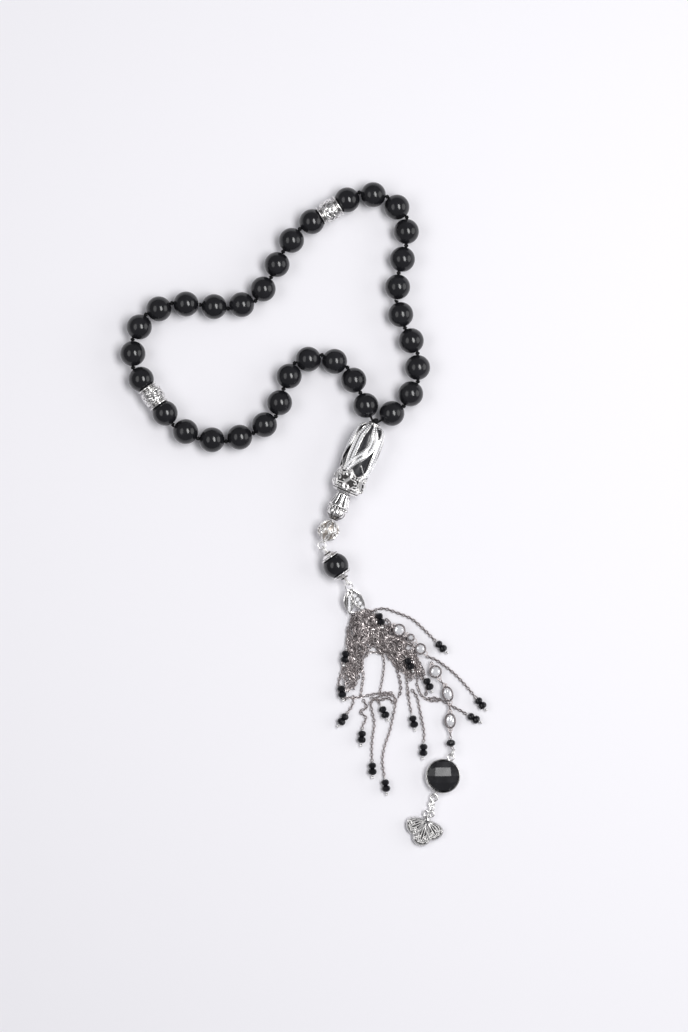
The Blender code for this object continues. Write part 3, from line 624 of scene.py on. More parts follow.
@dataclass
class BeadLoop:
    """The beads, the two dividers and the knotted thread through them.

    Attributes:
        radius: A bead's radius.
        bore: The radius of its bore.
        pitch: From one knot to the next.
        thread: The thread's radius.
        knot: The knots' radius.
        count: How many beads there are.
        links: The last bead of each hinged link of the thread.
        dividers: How many beads come before each divider, less one.
        flange: The radius of a divider's cupped end.
        cup: The radius of the hollow that a divider's end turns to its bead.
        divider_half: Half a divider's length.
    """

    radius: float = 4.0
    bore: float = 0.62
    pitch: float = 9.0
    thread: float = 0.34
    knot: float = 0.78
    count: int = 33
    links: tuple[int, ...] = (5, 17, 23, 33)
    dividers: tuple[int, int] = (10, 21)
    flange: float = 2.98
    cup: float = 4.30
    divider_half: float = 3.5

    def bead_shape(self) -> Shape:
        """A bead: a circle's arc turned about its bore, with a softly rounded mouth.

        Returns:
            The bead, with its bore along Z.
        """
        mouth = math.asin((self.bore + 0.16) / self.radius)
        a = np.linspace(mouth, math.pi - mouth, 27)
        arc = np.stack([self.radius * np.cos(a), self.radius * np.sin(a)], -1)
        end = arc[0, 0]
        lip = np.array([(end - 0.10, self.bore)])
        profile = np.vstack([lip, arc, lip * (-1, 1), lip])
        return turned(profile, 48)

    def divider_shape(self) -> Shape:
        """A divider: cupped flanges, grooves darkened with painted shade, and a barrel with running
        scrolls whose hollows take painted shade.

        Returns:
            The divider, with its bore along Z.
        """
        reach = self.divider_half + math.sqrt(self.cup ** 2 - self.flange ** 2)
        inner = np.linspace(self.flange, self.bore, 9)
        hug = np.stack([reach - np.sqrt(self.cup ** 2 - inner ** 2), inner], -1)
        flange = np.array([(3.42, 3.30), (3.30, 3.40), (3.12, 3.42), (2.98, 3.28), (2.90, 3.0),
                           (2.84, 2.66), (2.70, 2.52), (2.46, 2.50), (2.34, 2.62), (2.26, 3.0)])
        a = np.linspace(-1, 1, 33)
        barrel = np.stack([-2.1 * a, 3.18 + 0.36 * np.sqrt(1 - 0.92 * a ** 2)], -1)
        side = np.vstack([hug[::-1], flange])
        profile = np.vstack([side, barrel, (side * (-1, 1))[::-1], side[:1]])

        def scrolls(angle: Points, z: Points) -> Points:
            """Waves that run round the barrel: a cosine of the angle bent by the height.

            Args:
                angle: The angle about the bore.
                z: The height along it.

            Returns:
                What the carving takes off the radius, with a groove at each end.
            """
            inside = np.clip(1.7 - np.abs(z), 0, 0.25) / 0.25
            wave = np.cos(6 * angle + 1.6 * np.sin(2.4 * z)) * np.cos(2.1 * z)
            curl = np.cos(12 * angle + 3.0 * z)
            carved = np.clip(0.9 - 2.0 * np.abs(wave) - 0.35 * curl, -0.4, 1)
            return -0.30 * inside * np.clip(carved, 0, 1) - 0.12 * np.exp(
                -((np.abs(z) - 1.85) / 0.10) ** 2)

        shape = turned(profile, 96, scrolls, 0.42)
        z = shape.points[:, 2]
        r = np.hypot(shape.points[:, 0], shape.points[:, 1])
        # painted shade in the grooves between the flanges and the barrel
        groove = (np.abs(z) > 2.1) & (np.abs(z) < 2.95) & (r < 3.1) & (r > 2.0)
        shape.shade = np.maximum(shape.shade, np.where(groove, 0.45, 0.0))
        return shape

    def knots(self, centres: Points, axes: Points) -> Points:
        """Where the knots lie: between neighbouring beads, half a pitch from each centre.

        Args:
            centres: The beads' middles.
            axes: The directions of their bores.

        Returns:
            A knot after each bead, the last of them at the head's mouth.
        """
        ends = centres + axes * self.pitch / 2
        starts = centres - axes * self.pitch / 2
        middle = (ends[:-1] + starts[1:]) / 2
        return np.vstack([middle, ends[-1:]])

    def thread_shape(self, path: Points, knots: Points) -> Shape:
        """A link of the thread: a round section that swells at each knot.

        Args:
            path: The thread's line.
            knots: The knots that it passes.

        Returns:
            The thread: its radius is the plain one, or the knot's bell where that is larger.
            The bell has a narrow waist in its middle.
        """
        away = np.linalg.norm(path[:, None] - knots[None], axis=2).min(axis=1)
        bell = self.knot * np.sqrt(np.clip(1 - (away / 0.50) ** 2, 0, None))
        waist = 1 - 0.20 * np.exp(-(away / 0.10) ** 2)
        return tube(path, np.maximum(self.thread, bell * waist), 12)

    def build(self, layout: Layout, finishes: Finishes) -> None:
        """Put the whole loop in.

        Args:
            layout: Where the joints are.
            finishes: The materials.
        """
        bead, divider = self.bead_shape(), self.divider_shape()
        names = [f"bead_{i:02d}" for i in range(1, self.count + 1)]
        centres = np.array([layout.at("spin_" + n) for n in names])
        axes = np.array([layout.axis("spin_" + n) for n in names])
        for name, centre, axis in zip(names, centres, axes):
            put(name.replace("bead", "onyx_bead"), bead.placed(Place.along(centre, axis)),
                [finishes.onyx], name, [name])
        for name in ("divider_1", "divider_2"):
            place = Place.along(layout.at("spin_" + name), layout.axis("spin_" + name))
            put("worked_" + name, divider.placed(place), [finishes.silver], name,
                [name], 50)
        knots = self.knots(centres, axes)
        inside, ahead, behind = 2.6, 0.3, 0.62
        start, finish = (layout.mouth + unit(centres[i] - layout.mouth) * 0.9 for i in (0, -1))
        first = 0
        for k, last in enumerate(self.links):
            route = [start]
            own = []
            for i in range(first, last):
                route += [centres[i] - axes[i] * inside, centres[i] + axes[i] * inside]
                if i < self.count - 1 and i not in self.dividers:
                    route.append(knots[i])
                    own.append(knots[i])
            if last == self.count:
                route.append(finish)
            else:
                onward = unit(centres[last] - knots[last - 1])
                route.append(knots[last - 1] + onward * ahead)
                start = knots[last - 1] + onward * behind
            path = smooth(route, 0.16)
            piece = put(f"laid_thread_{k + 1}", self.thread_shape(path, np.array(own)),
                        [finishes.thread], f"loop_link_{k + 1}", [f"thread_{k + 1}"])
            first = last


# ---------------------------------------------------------------- head

@dataclass
class Head:
    """The caged almond, the crown with its scrolls, the tulip neck and the filigree bead.

    Attributes:
        profile: Distance from the mouth and radius of the cage's outside.
        straight: The angle of the first straight ribbon, seen from above, in degrees.
        ribbon: A ribbon's width.
        repeats: How many times the ribbons repeat round the head.
        crown: Start and end of the crown down the axis.
        crown_radius: The crown's reach to its corners.
        neck: Where the neck starts.
        ball_at: The middle of the filigree bead.
        ball_radius: Its radius.
        eye_at: The middle of the pin's eye.
        crown_turn: The angle of the crown's first corner, in degrees.
        core_gap: How far the almond lies under the cage's outside.
        mouth_knot: The radius of the knot at the mouth.
        knot_out: How far its middle stands out of the mouth.
    """

    profile: tuple[tuple[float, float], ...] = (
        (0.0, 1.6), (0.5, 2.9), (1.3, 3.8), (2.6, 4.5), (4.4, 5.0), (6.4, 5.2), (8.6, 5.25),
        (10.8, 5.25), (12.8, 5.15), (14.6, 5.05), (16.0, 4.95), (17.0, 4.85))
    straight: float = 33.0
    ribbon: float = 2.9
    repeats: int = 4
    crown: tuple[float, float] = (17.0, 23.6)
    crown_radius: float = 5.1
    neck: float = 23.9
    ball_at: float = 36.75
    ball_radius: float = 3.45
    eye_at: float = 42.0
    crown_turn: float = -20.0
    core_gap: float = 0.55
    mouth_knot: float = 0.95
    knot_out: float = 1.2

    def radius(self, s: Points) -> Points:
        """The cage's radius at distances from the mouth."""
        fine = smooth(self.profile, 0.1)
        return np.interp(s, fine[:, 0], fine[:, 1])

    def surface(self, angle: Points, s: Points, lift: Points) -> Points:
        """Points on the cage's barrel at an angle and a distance, lifted off it."""
        r = self.radius(s) + lift
        return np.stack([r * np.cos(angle), r * np.sin(angle), s], -1)

    def band(self, angle: Points, s: Points, width: Points) -> Shape:
        """A ribbon: a channel between two round rims, carried along a line on the barrel.

        Args:
            angle: The line's angle at each step.
            s: Its distance from the mouth at each step.
            width: The ribbon's width at each step.

        Returns:
            The closed ribbon. Across it, the lift follows two bells for the rims, and the channel
            between them takes painted shade.
        """
        across = np.linspace(-1, 1, 15)
        rims = 0.20 * np.exp(-((np.abs(across) - 0.88) / 0.09) ** 2)
        lift = np.concatenate([rims + 0.02, [-0.35, -0.35]])
        across = np.concatenate([across, [0.9, -0.9]])
        slope = np.gradient(angle) * self.radius(s) / np.gradient(s)
        tilt = np.arctan(slope)
        half = width[:, None] / 2 * across[None]
        r = self.radius(s)[:, None]
        angles = angle[:, None] + half * np.cos(tilt)[:, None] / r
        heights = np.clip(s[:, None] - half * np.sin(tilt)[:, None], 0.1, self.crown[0])
        grid = self.surface(angles, heights, np.broadcast_to(lift[None], angles.shape))
        ends = np.broadcast_to(grid[[0, -1]].mean(axis=1, keepdims=True), grid[[0, -1]].shape)
        # painted shade: the channel between the rims is darkened
        dark = np.where(np.abs(across) < 0.74, 0.35, 0.0)
        return sheet(np.concatenate([ends[:1], grid, ends[1:]]), wrap_columns=True,
                     shade=dark[None])

    def pave(self, angle: Points, s: Points, width: Points, gem: Shape) -> Shape:
        """Two rows of small stones along a ribbon.

        Args:
            angle: The ribbon's angle at each step.
            s: Its distance from the mouth at each step.
            width: Its width at each step.
            gem: One stone, with its table along Z.

        Returns:
            The stones, each standing square on the barrel.
        """
        line = self.surface(angle, s, 0 * s)
        run = run_of(line)
        at = np.arange(0.5, run[-1] - 0.3, 0.74)
        a, d = np.interp(at, run, angle), np.interp(at, run, s)
        w = np.interp(at, run, width)
        tilt = np.arctan(np.gradient(a) * self.radius(d) / np.gradient(d))
        shapes = []
        for side in (-0.20, 0.20):
            angles = a + w * side * np.cos(tilt) / self.radius(d)
            heights = d - w * side * np.sin(tilt)
            spots = self.surface(angles, heights, 0 * d + 0.08)
            out = np.stack([np.cos(angles), np.sin(angles), 0 * angles], -1)
            down = np.tile(UP, (len(out), 1))
            turns = np.stack([np.cross(down, out), down, out], 1)
            shapes.append(copies(gem, spots, turns, w / self.ribbon))
        return joined(shapes)

    def lines(self) -> list[tuple[Points, Points, Points]]:
        """The middle lines of the ribbons: straight ones, and ones that sweep into them.

        Returns:
            The angle, the distance from the mouth and the width at each step of each ribbon.
        """
        s = np.linspace(0.5, 16.9, 60)
        top = np.clip((s - 0.5) / 4.0, 0, 1)
        full = self.ribbon * (0.45 + 0.55 * np.sin(top * math.pi / 2))
        step = np.clip((s - 6.5) / 10.4, 0, 1)
        sweep = step * step * (3 - 2 * step)
        out = []
        for k in range(self.repeats):
            turn = math.radians(360.0 / self.repeats * k)
            straight = np.radians(self.straight - 12 * (1 - top)) + turn
            out.append((straight, s, full * (1 - 0.35 * np.clip((s - 12) / 5, 0, 1))))
            bent = np.radians(-24 + 12 * (1 - top) + 55 * sweep) + turn
            out.append((bent, s, full))
        return out

    def face_way(self, face: int) -> Points:
        """The way that one flat face of the crown looks."""
        angle = math.radians(self.crown_turn + 30 + 60 * face)
        return np.array([math.cos(angle), math.sin(angle), 0])

    def on_face(self, path: Points, face: int, s: float, lift: float) -> Points:
        """A plane path laid on one flat face of the crown.

        Args:
            path: Points across and along the face.
            face: The face's number.
            s: The path's middle down the axis.
            lift: How far it stands off the face.

        Returns:
            The path in the head's own axes.
        """
        out = self.face_way(face)
        flat = self.crown_radius * math.cos(math.pi / 6) + lift
        return out * flat + path[:, :1] * np.cross(UP, out) + (path[:, 1:] + s) * UP

    def crown_shape(self) -> Shape:
        """The crown: a six-sided body painted dark with shade, with bright scrolls and leaf points
        on its faces.

        Returns:
            The body with finish 1, the wires on it with finish 2 and its two hoops with 0.
        """
        start, end = self.crown
        rows = [(start, 0.8), (start, 4.6), (start + 0.5, self.crown_radius - 0.25),
                (start + 4.4, self.crown_radius - 0.35), (start + 5.6, self.crown_radius - 0.8),
                (end - 0.2, 3.9), (end, 3.5), (end, 0.8), (start, 0.8)]
        body = turned(np.array(rows), 6)
        c, s = math.cos(math.radians(self.crown_turn)), math.sin(math.radians(self.crown_turn))
        body.points = body.points @ np.array([[c, s, 0], [-s, c, 0], [0, 0, 1]])
        # painted shade: finish 1 darkens the body behind the scrolls
        parts = [body.finished(1)]
        middle = s_scroll(4.6, 2.5) @ np.array([[0.55, 0.84], [-0.84, 0.55]])
        taper = 0.34 + 0.26 * np.cos(np.linspace(-math.pi / 2, math.pi / 2, len(middle)))
        point = smooth([(-2.2, 0.4), (-1.3, -0.2), (-0.5, -0.9), (0.0, -1.5), (0.5, -0.9),
                        (1.3, -0.2), (2.2, 0.4)], 0.3)
        for face in range(6):
            out = self.face_way(face)
            path = self.on_face(middle * ((-1) ** face, 0.95), face, start + 2.5, 0.02)
            parts.append(tube(path, taper, 8, out).finished(2))
            for way in (-1, 1):
                curl = s_scroll(2.2, 2.2, 24) * (way, 1) + (1.9 * way, 0.9 * way)
                path = self.on_face(curl, face, start + 2.8, 0.0)
                parts.append(tube(path, 0.22, 6, out).finished(2))
            for across, along, size in ((-1.7, 4.7, 0.50), (1.7, 4.7, 0.50), (0.0, 0.1, 0.45),
                                        (1.95, 1.2, 0.40), (-1.95, 1.2, 0.40)):
                spot = self.on_face(np.array([[across, along - 2.6]]), face, start + 2.6, -0.1)
                parts.append(copies(ball(size, 8, 5), spot, np.eye(3)[None]).finished(2))
            path = self.on_face(point, face, start + 0.3, -0.10)
            parts.append(tube(path, 0.30, 6, out).finished(2))
        for height, r in ((end - 0.3, 3.95), (start + 5.5, self.crown_radius - 0.75)):
            a = np.radians(self.crown_turn + 60 * np.arange(6))
            corners = np.stack([r * np.cos(a), r * np.sin(a), np.full(6, height)], -1)
            hoop = np.vstack([np.linspace(p, q, 6, endpoint=False)
                              for p, q in zip(corners, np.roll(corners, -1, 0))])
            parts.append(tube(hoop, 0.28, 6, UP, closed=True))
        return joined(parts)

    def neck_shape(self) -> Shape:
        """The neck: eight tulip lobes over a ring of small balls, and a cup darkened with painted
        shade.

        Returns:
            The neck in the head's own axes.
        """
        s = self.neck
        profile = np.array([(s, 0.8), (s, 2.2), (s + 0.5, 2.35), (s + 1.6, 2.45), (s + 2.6, 2.7),
                            (s + 3.6, 3.05), (s + 4.3, 3.25), (s + 4.7, 3.1), (s + 4.9, 2.8),
                            (s + 5.3, 2.75), (s + 5.6, 2.9), (s + 6.3, 3.1), (s + 7.1, 3.0),
                            (s + 7.9, 2.4), (s + 8.6, 1.7), (s + 9.0, 1.5), (s + 9.1, 0.8)])
        fine = np.vstack([profile[:1], smooth(profile[1:-1], 0.18), profile[-1:], profile[:1]])

        def lobes(angle: Points, z: Points) -> Points:
            """Slots between the lobes: narrow bells of the angle, above and below the ring.

            Args:
                angle: The angle about the axis.
                z: The distance from the head's mouth.

            Returns:
                What the slots take off the radius.
            """
            beat = np.abs(np.cos(4 * angle))
            top = np.clip((z - s - 0.3) / 0.6, 0, 1) * np.clip((s + 4.2 - z) / 0.4, 0, 1)
            low = np.clip((z - s - 5.5) / 0.5, 0, 1) * np.clip((s + 8.4 - z) / 0.6, 0, 1)
            return -0.75 * top * np.exp(-(beat / 0.30) ** 2) - 0.4 * low * np.exp(
                -(beat / 0.35) ** 2)

        body = turned(fine, 96, lobes, 0.45)
        z = body.points[:, 2]
        # painted shade on the cup where the neck meets the filigree bead, and behind the ring of
        # balls
        body.shade = np.maximum(body.shade, np.where(z > s + 7.6, 0.85, 0.0))
        body.shade = np.maximum(body.shade, np.where(np.abs(z - s - 5.0) < 0.3, 0.9, 0.0))
        count = 18
        a = np.linspace(0, TAU, count, endpoint=False)
        beads = np.stack([2.95 * np.cos(a), 2.95 * np.sin(a), np.full(count, s + 5.05)], -1)
        turns = np.tile(np.eye(3), (count, 1, 1))
        return body + copies(ball(0.40, 8, 5), beads, turns)

    def filigree_shape(self) -> Shape:
        """The openwork bead: bowed wires from pole to pole, with scrolls between them.

        Returns:
            The wires with finish 0 and the lining under them with finish 1, painted dark as the
            shadow inside the hollow bead.
        """
        r = self.ball_radius - 0.2

        def on_ball(polar: Points, around: Points, wire: float) -> Shape:
            """A wire on the ball through points given by two angles.

            Args:
                polar: Each point's angle from the lower pole.
                around: Its angle about the axis.
                wire: The wire's radius.

            Returns:
                The wire.
            """
            path = np.stack([r * np.sin(polar) * np.cos(around),
                             r * np.sin(polar) * np.sin(around), -r * np.cos(polar)], -1)
            return tube(path, wire, 6, unit(path))

        bows, scrolls, pole = 14, 12, 0.955
        polar = np.linspace(0.30, math.pi - 0.30, 30)
        parts = [on_ball(polar, TAU * k / bows + 0.40 * np.sin(2 * polar) * (-1) ** k, 0.27)
                 for k in range(bows)]
        for k in range(scrolls):
            scroll = s_scroll(1.9, 2.2, 26) * (-1) ** k
            parts.append(on_ball(math.pi / 2 + scroll[:, 1] / r * 1.3,
                                 TAU * (k + 0.5) / scrolls + scroll[:, 0] * 0.45 / r, 0.20))
        for height in (-pole, pole):
            parts.append(ring(r * math.sqrt(1 - height ** 2) + 0.05, 0.26, (0, 0, r * height),
                              count=20))
        # painted shadow: a lining that stands for the shaded inside of the hollow bead
        lining = ball(r - 0.22, 32, 18).finished(1)
        shape = joined(parts + [lining])
        shape.points[:, 2] += self.ball_at
        return shape

    def pin_shape(self) -> Shape:
        """The pin: a shank with wound turns, and an eye of two wires side by side.

        Returns:
            The pin in the head's own axes.
        """
        shank = np.linspace(1.0, self.eye_at - 1.4, 12)[:, None] * UP
        parts = [tube(shank, 0.30, 8, X_AXIS),
                 tube(wound(0.46, self.eye_at - 2.1, self.eye_at - 1.2), 0.17, 6)]
        return joined(parts + double_eye(self.eye_at, Facing.TOWARDS_X))

    def build(self, layout: Layout, finishes: Finishes) -> None:
        """Put the head in.

        Args:
            layout: Where the joints are.
            finishes: The materials.
        """
        place = Place.along(layout.mouth, layout.axis("spin_filigree_bead"))
        top, foot, bore = 0.9, self.crown[0] - 0.1, 0.75
        at = np.linspace(top, foot, 60)
        core = np.column_stack([at, self.radius(at) - self.core_gap])
        core = np.vstack([(top, bore), core, (foot, bore), (top, bore)])
        put("almond", turned(core, 72).placed(place), [finishes.enamel], "head",
            ["head_core"])
        gem = cut_stone([(-0.08, 0.36), (0.06, 0.42), (0.26, 0.22)], 6)
        bands, gems = [], []
        for line in self.lines():
            bands.append(self.band(*line))
            gems.append(self.pave(*line, gem))
        for k in range(self.repeats):
            turn = 360.0 / self.repeats * k
            for a, b in ((-15, -50), (-62, -50)):
                s = np.linspace(13.6, 16.8, 10)
                angle = np.radians(np.linspace(a, b, 10) + turn)
                path = self.surface(angle, s, 0 * s - 0.05)
                bands.append(tube(path, 0.22, 6, unit(path * (1, 1, 0))))
        for size, high in ((1.75, 0.35), (1.65, -0.10)):
            bands.append(ring(size, 0.45, (0, 0, high), count=32))
        put("caged_ribbons", joined(bands).placed(place), [finishes.silver], "head",
            ["head_cage"], 60)
        put("pave", joined(gems).placed(place), [finishes.pave], "head", (), 20)
        put("scrolled_crown", self.crown_shape().placed(place),
            [finishes.silver, finishes.dark, finishes.bright], "head", ["crown"])
        knot = ball(self.mouth_knot, 14, 9)
        knot.points[:, 2] -= self.knot_out
        put("mouth_knot", knot.placed(place), [finishes.thread], "head")
        put("tulip_neck", self.neck_shape().placed(place), [finishes.silver], "head",
            ["neck"], 60)
        put("openwork_bead", self.filigree_shape().placed(place), [finishes.bright, finishes.shadow_lining],
            "filigree_bead", ["filigree_bead"])
        put("wound_pin", self.pin_shape().placed(place), [finishes.bright], "head",
            ["head_pin"])


# ---------------------------------------------------------------- pendant and bail

@dataclass
class Pendant:
    """The capped bead on its pin, and the two-leaved bail under it.

    Attributes:
        reach: From the bead's middle to each eye.
        hollow: The radius of the hollow in which a cap holds the bead.
        bail_way: The level way that the bail leaves the pin.
        bail_gap: From the lower eye's middle to the bail's.
        bail_slope: How steeply the bail leans down, in degrees.
    """

    reach: float = 6.3
    hollow: float = 4.3
    bail_way: tuple[float, float, float] = (0.320, -0.947, 0.0)
    bail_gap: float = 1.5
    bail_slope: float = 14.0

    def cap_shape(self) -> Shape:
        """A thin cupped disc with a line of painted shade under its rim, and a small ringed dome.

        Returns:
            The cap, with the bead's middle at the origin.
        """
        inner = np.linspace(3.0, 0.7, 8)
        hug = np.stack([np.sqrt(self.hollow ** 2 - inner ** 2), inner], -1)
        outside = np.array([(5.05, 0.7), (5.1, 0.95), (4.95, 1.2), (4.6, 1.25), (4.5, 1.6),
                            (4.3, 1.95), (3.95, 2.35), (3.62, 2.8), (3.40, 3.15), (3.25, 3.24),
                            (3.10, 3.20), (3.06, 3.05)])
        profile = np.vstack([hug, smooth(outside, 0.12), hug[:1]])
        shape = turned(profile, 72)
        z, r = shape.points[:, 2], np.hypot(shape.points[:, 0], shape.points[:, 1])
        # painted shade under the rim and round the small dome
        line = ((r > 2.70) & (r < 2.98) & (z > 3.45)) | ((r > 1.2) & (r < 1.5) & (z > 4.4))
        shape.shade = np.where(line, 0.9, 0.0)
        return shape

    def pin_shape(self) -> Shape:
        """A straight pin with an eye of two wires at each end and wound turns beside it.

        Returns:
            The pin along Z.
        """
        shank = np.linspace(EYE - self.reach, self.reach - EYE, 10)[:, None] * UP
        parts = [tube(shank, 0.28, 8, X_AXIS)]
        for way in (-1, 1):
            coil = wound(0.46, way * (self.reach - 1.9), way * (self.reach - 1.1))
            parts += [tube(coil, 0.17, 6), *double_eye(way * self.reach, Facing.TOWARDS_Y)]
        return joined(parts)

    def leaf(self, foot: Points, tip: Points, wide: float, stones: int, double: bool,
             gem: Shape) -> list[Shape]:
        """One leaf of the bail: a rim, a dished floor with painted shade and a column of stones.

        Args:
            foot: Where the leaf leaves the eye, in the bail's plane.
            tip: Its far end.
            wide: Its half width.
            stones: How many stones stand in it.
            double: Whether a second rim runs inside the first.
            gem: One stone.

        Returns:
            The leaf's parts. Its outline is a sine of the share along it.
        """
        along, length = unit(tip - foot), np.linalg.norm(tip - foot)
        side = np.cross(UP, along)
        t = np.linspace(0, 1, 24)
        bulge = wide * np.sin(math.pi * t ** 0.85)
        lift = 0.5
        spine = foot + t[:, None] * length * along + lift * np.sin(math.pi * t)[:, None] * UP

        def edge(size: float) -> Points:
            """The outline at a share of its full width, without its doubled ends."""
            half = size * bulge[:, None] * side
            return np.vstack([spine + half, (spine - half)[::-1]])[1:-1]

        parts = [tube(edge(1.0), 0.26, 8, UP, closed=True)]
        if double:
            parts.append(tube(edge(0.6) + (0, 0, 0.20), 0.24, 6, UP, closed=True))
        across = np.linspace(-1, 1, 9)[None, :, None]
        floor = spine[:, None] + across * bulge[:, None, None] * side
        floor = floor - (0.22 * (1 - across ** 2)) * UP
        under = floor - 0.3 * UP
        grid = np.concatenate([floor, under[:, ::-1]], axis=1)
        # painted shade on the dished floor, deeper in the double-rimmed leaf
        parts.append(sheet(grid, wrap_columns=True, shade=0.80 if double else 0.10))
        spots = foot + np.linspace(0.28, 0.82, stones)[:, None] * length * along
        spots = spots + lift * UP
        parts.append(copies(gem, spots, np.tile(np.eye(3), (stones, 1, 1))).finished(1))
        return parts

    def bail_shape(self) -> Shape:
        """The bail in its own plane, with its eye at the origin and its leaves down Y.

        Returns:
            The metal with finish 0 and the stones with finish 1.
        """
        square = cut_stone([(-0.1, 0.66), (0.14, 0.78), (0.42, 0.55)], 4)
        small = cut_stone([(-0.1, 0.46), (0.10, 0.56), (0.34, 0.36)], 6)
        parts = [ring(EYE, 0.20)]
        parts += self.leaf(np.array([-0.3, EYE, 0]), np.array([-2.3, 9.4, 0]), 1.65, 4, False,
                           square)
        parts += self.leaf(np.array([0.3, EYE, 0]), np.array([2.7, 8.6, 0]), 1.60, 6, True, small)
        bar = np.array([(-2.6, 8.2, 0.0), (-1.0, 8.9, 0.1), (1.0, 8.8, 0.1), (2.6, 8.0, 0.0)])
        parts.append(tube(smooth(bar, 0.4), 0.30, 8))
        return joined(parts)

    def build(self, layout: Layout, finishes: Finishes) -> None:
        """Put the pendant and the bail in.

        Args:
            layout: Where the joints are.
            finishes: The materials.
        """
        centre, axis = layout.at("spin_capped_bead"), layout.axis("spin_capped_bead")
        place = Place.along(centre, axis)
        bead = BeadLoop().bead_shape()
        put("onyx_capped_bead", bead.placed(place), [finishes.onyx], "capped_bead",
            ["capped_bead"])
        cap = self.cap_shape()
        flip = Shape(cap.points * (1, -1, -1), cap.faces, cap.shade, cap.slots)
        put("dished_cap_lower", cap.placed(place), [finishes.silver], "cap_lower",
            ["cap_lower"])
        put("dished_cap_upper", flip.placed(place), [finishes.silver], "cap_upper",
            ["cap_upper"])
        put("double_eyed_pin", self.pin_shape().placed(place), [finishes.bright], "pendant_pin",
            ["bead_pin"])
        run = unit(np.array(self.bail_way))
        eye = centre + axis * self.reach + run * self.bail_gap
        down = unit(run - UP * math.tan(math.radians(self.bail_slope)))
        side = unit(np.cross(down, UP))
        tilt = Place(eye, np.array([side, down, np.cross(side, down)]))
        put("leaved_bail", self.bail_shape().placed(tilt), [finishes.silver, finishes.pave],
            "bail", ["bail"])


# ---------------------------------------------------------------- tassel

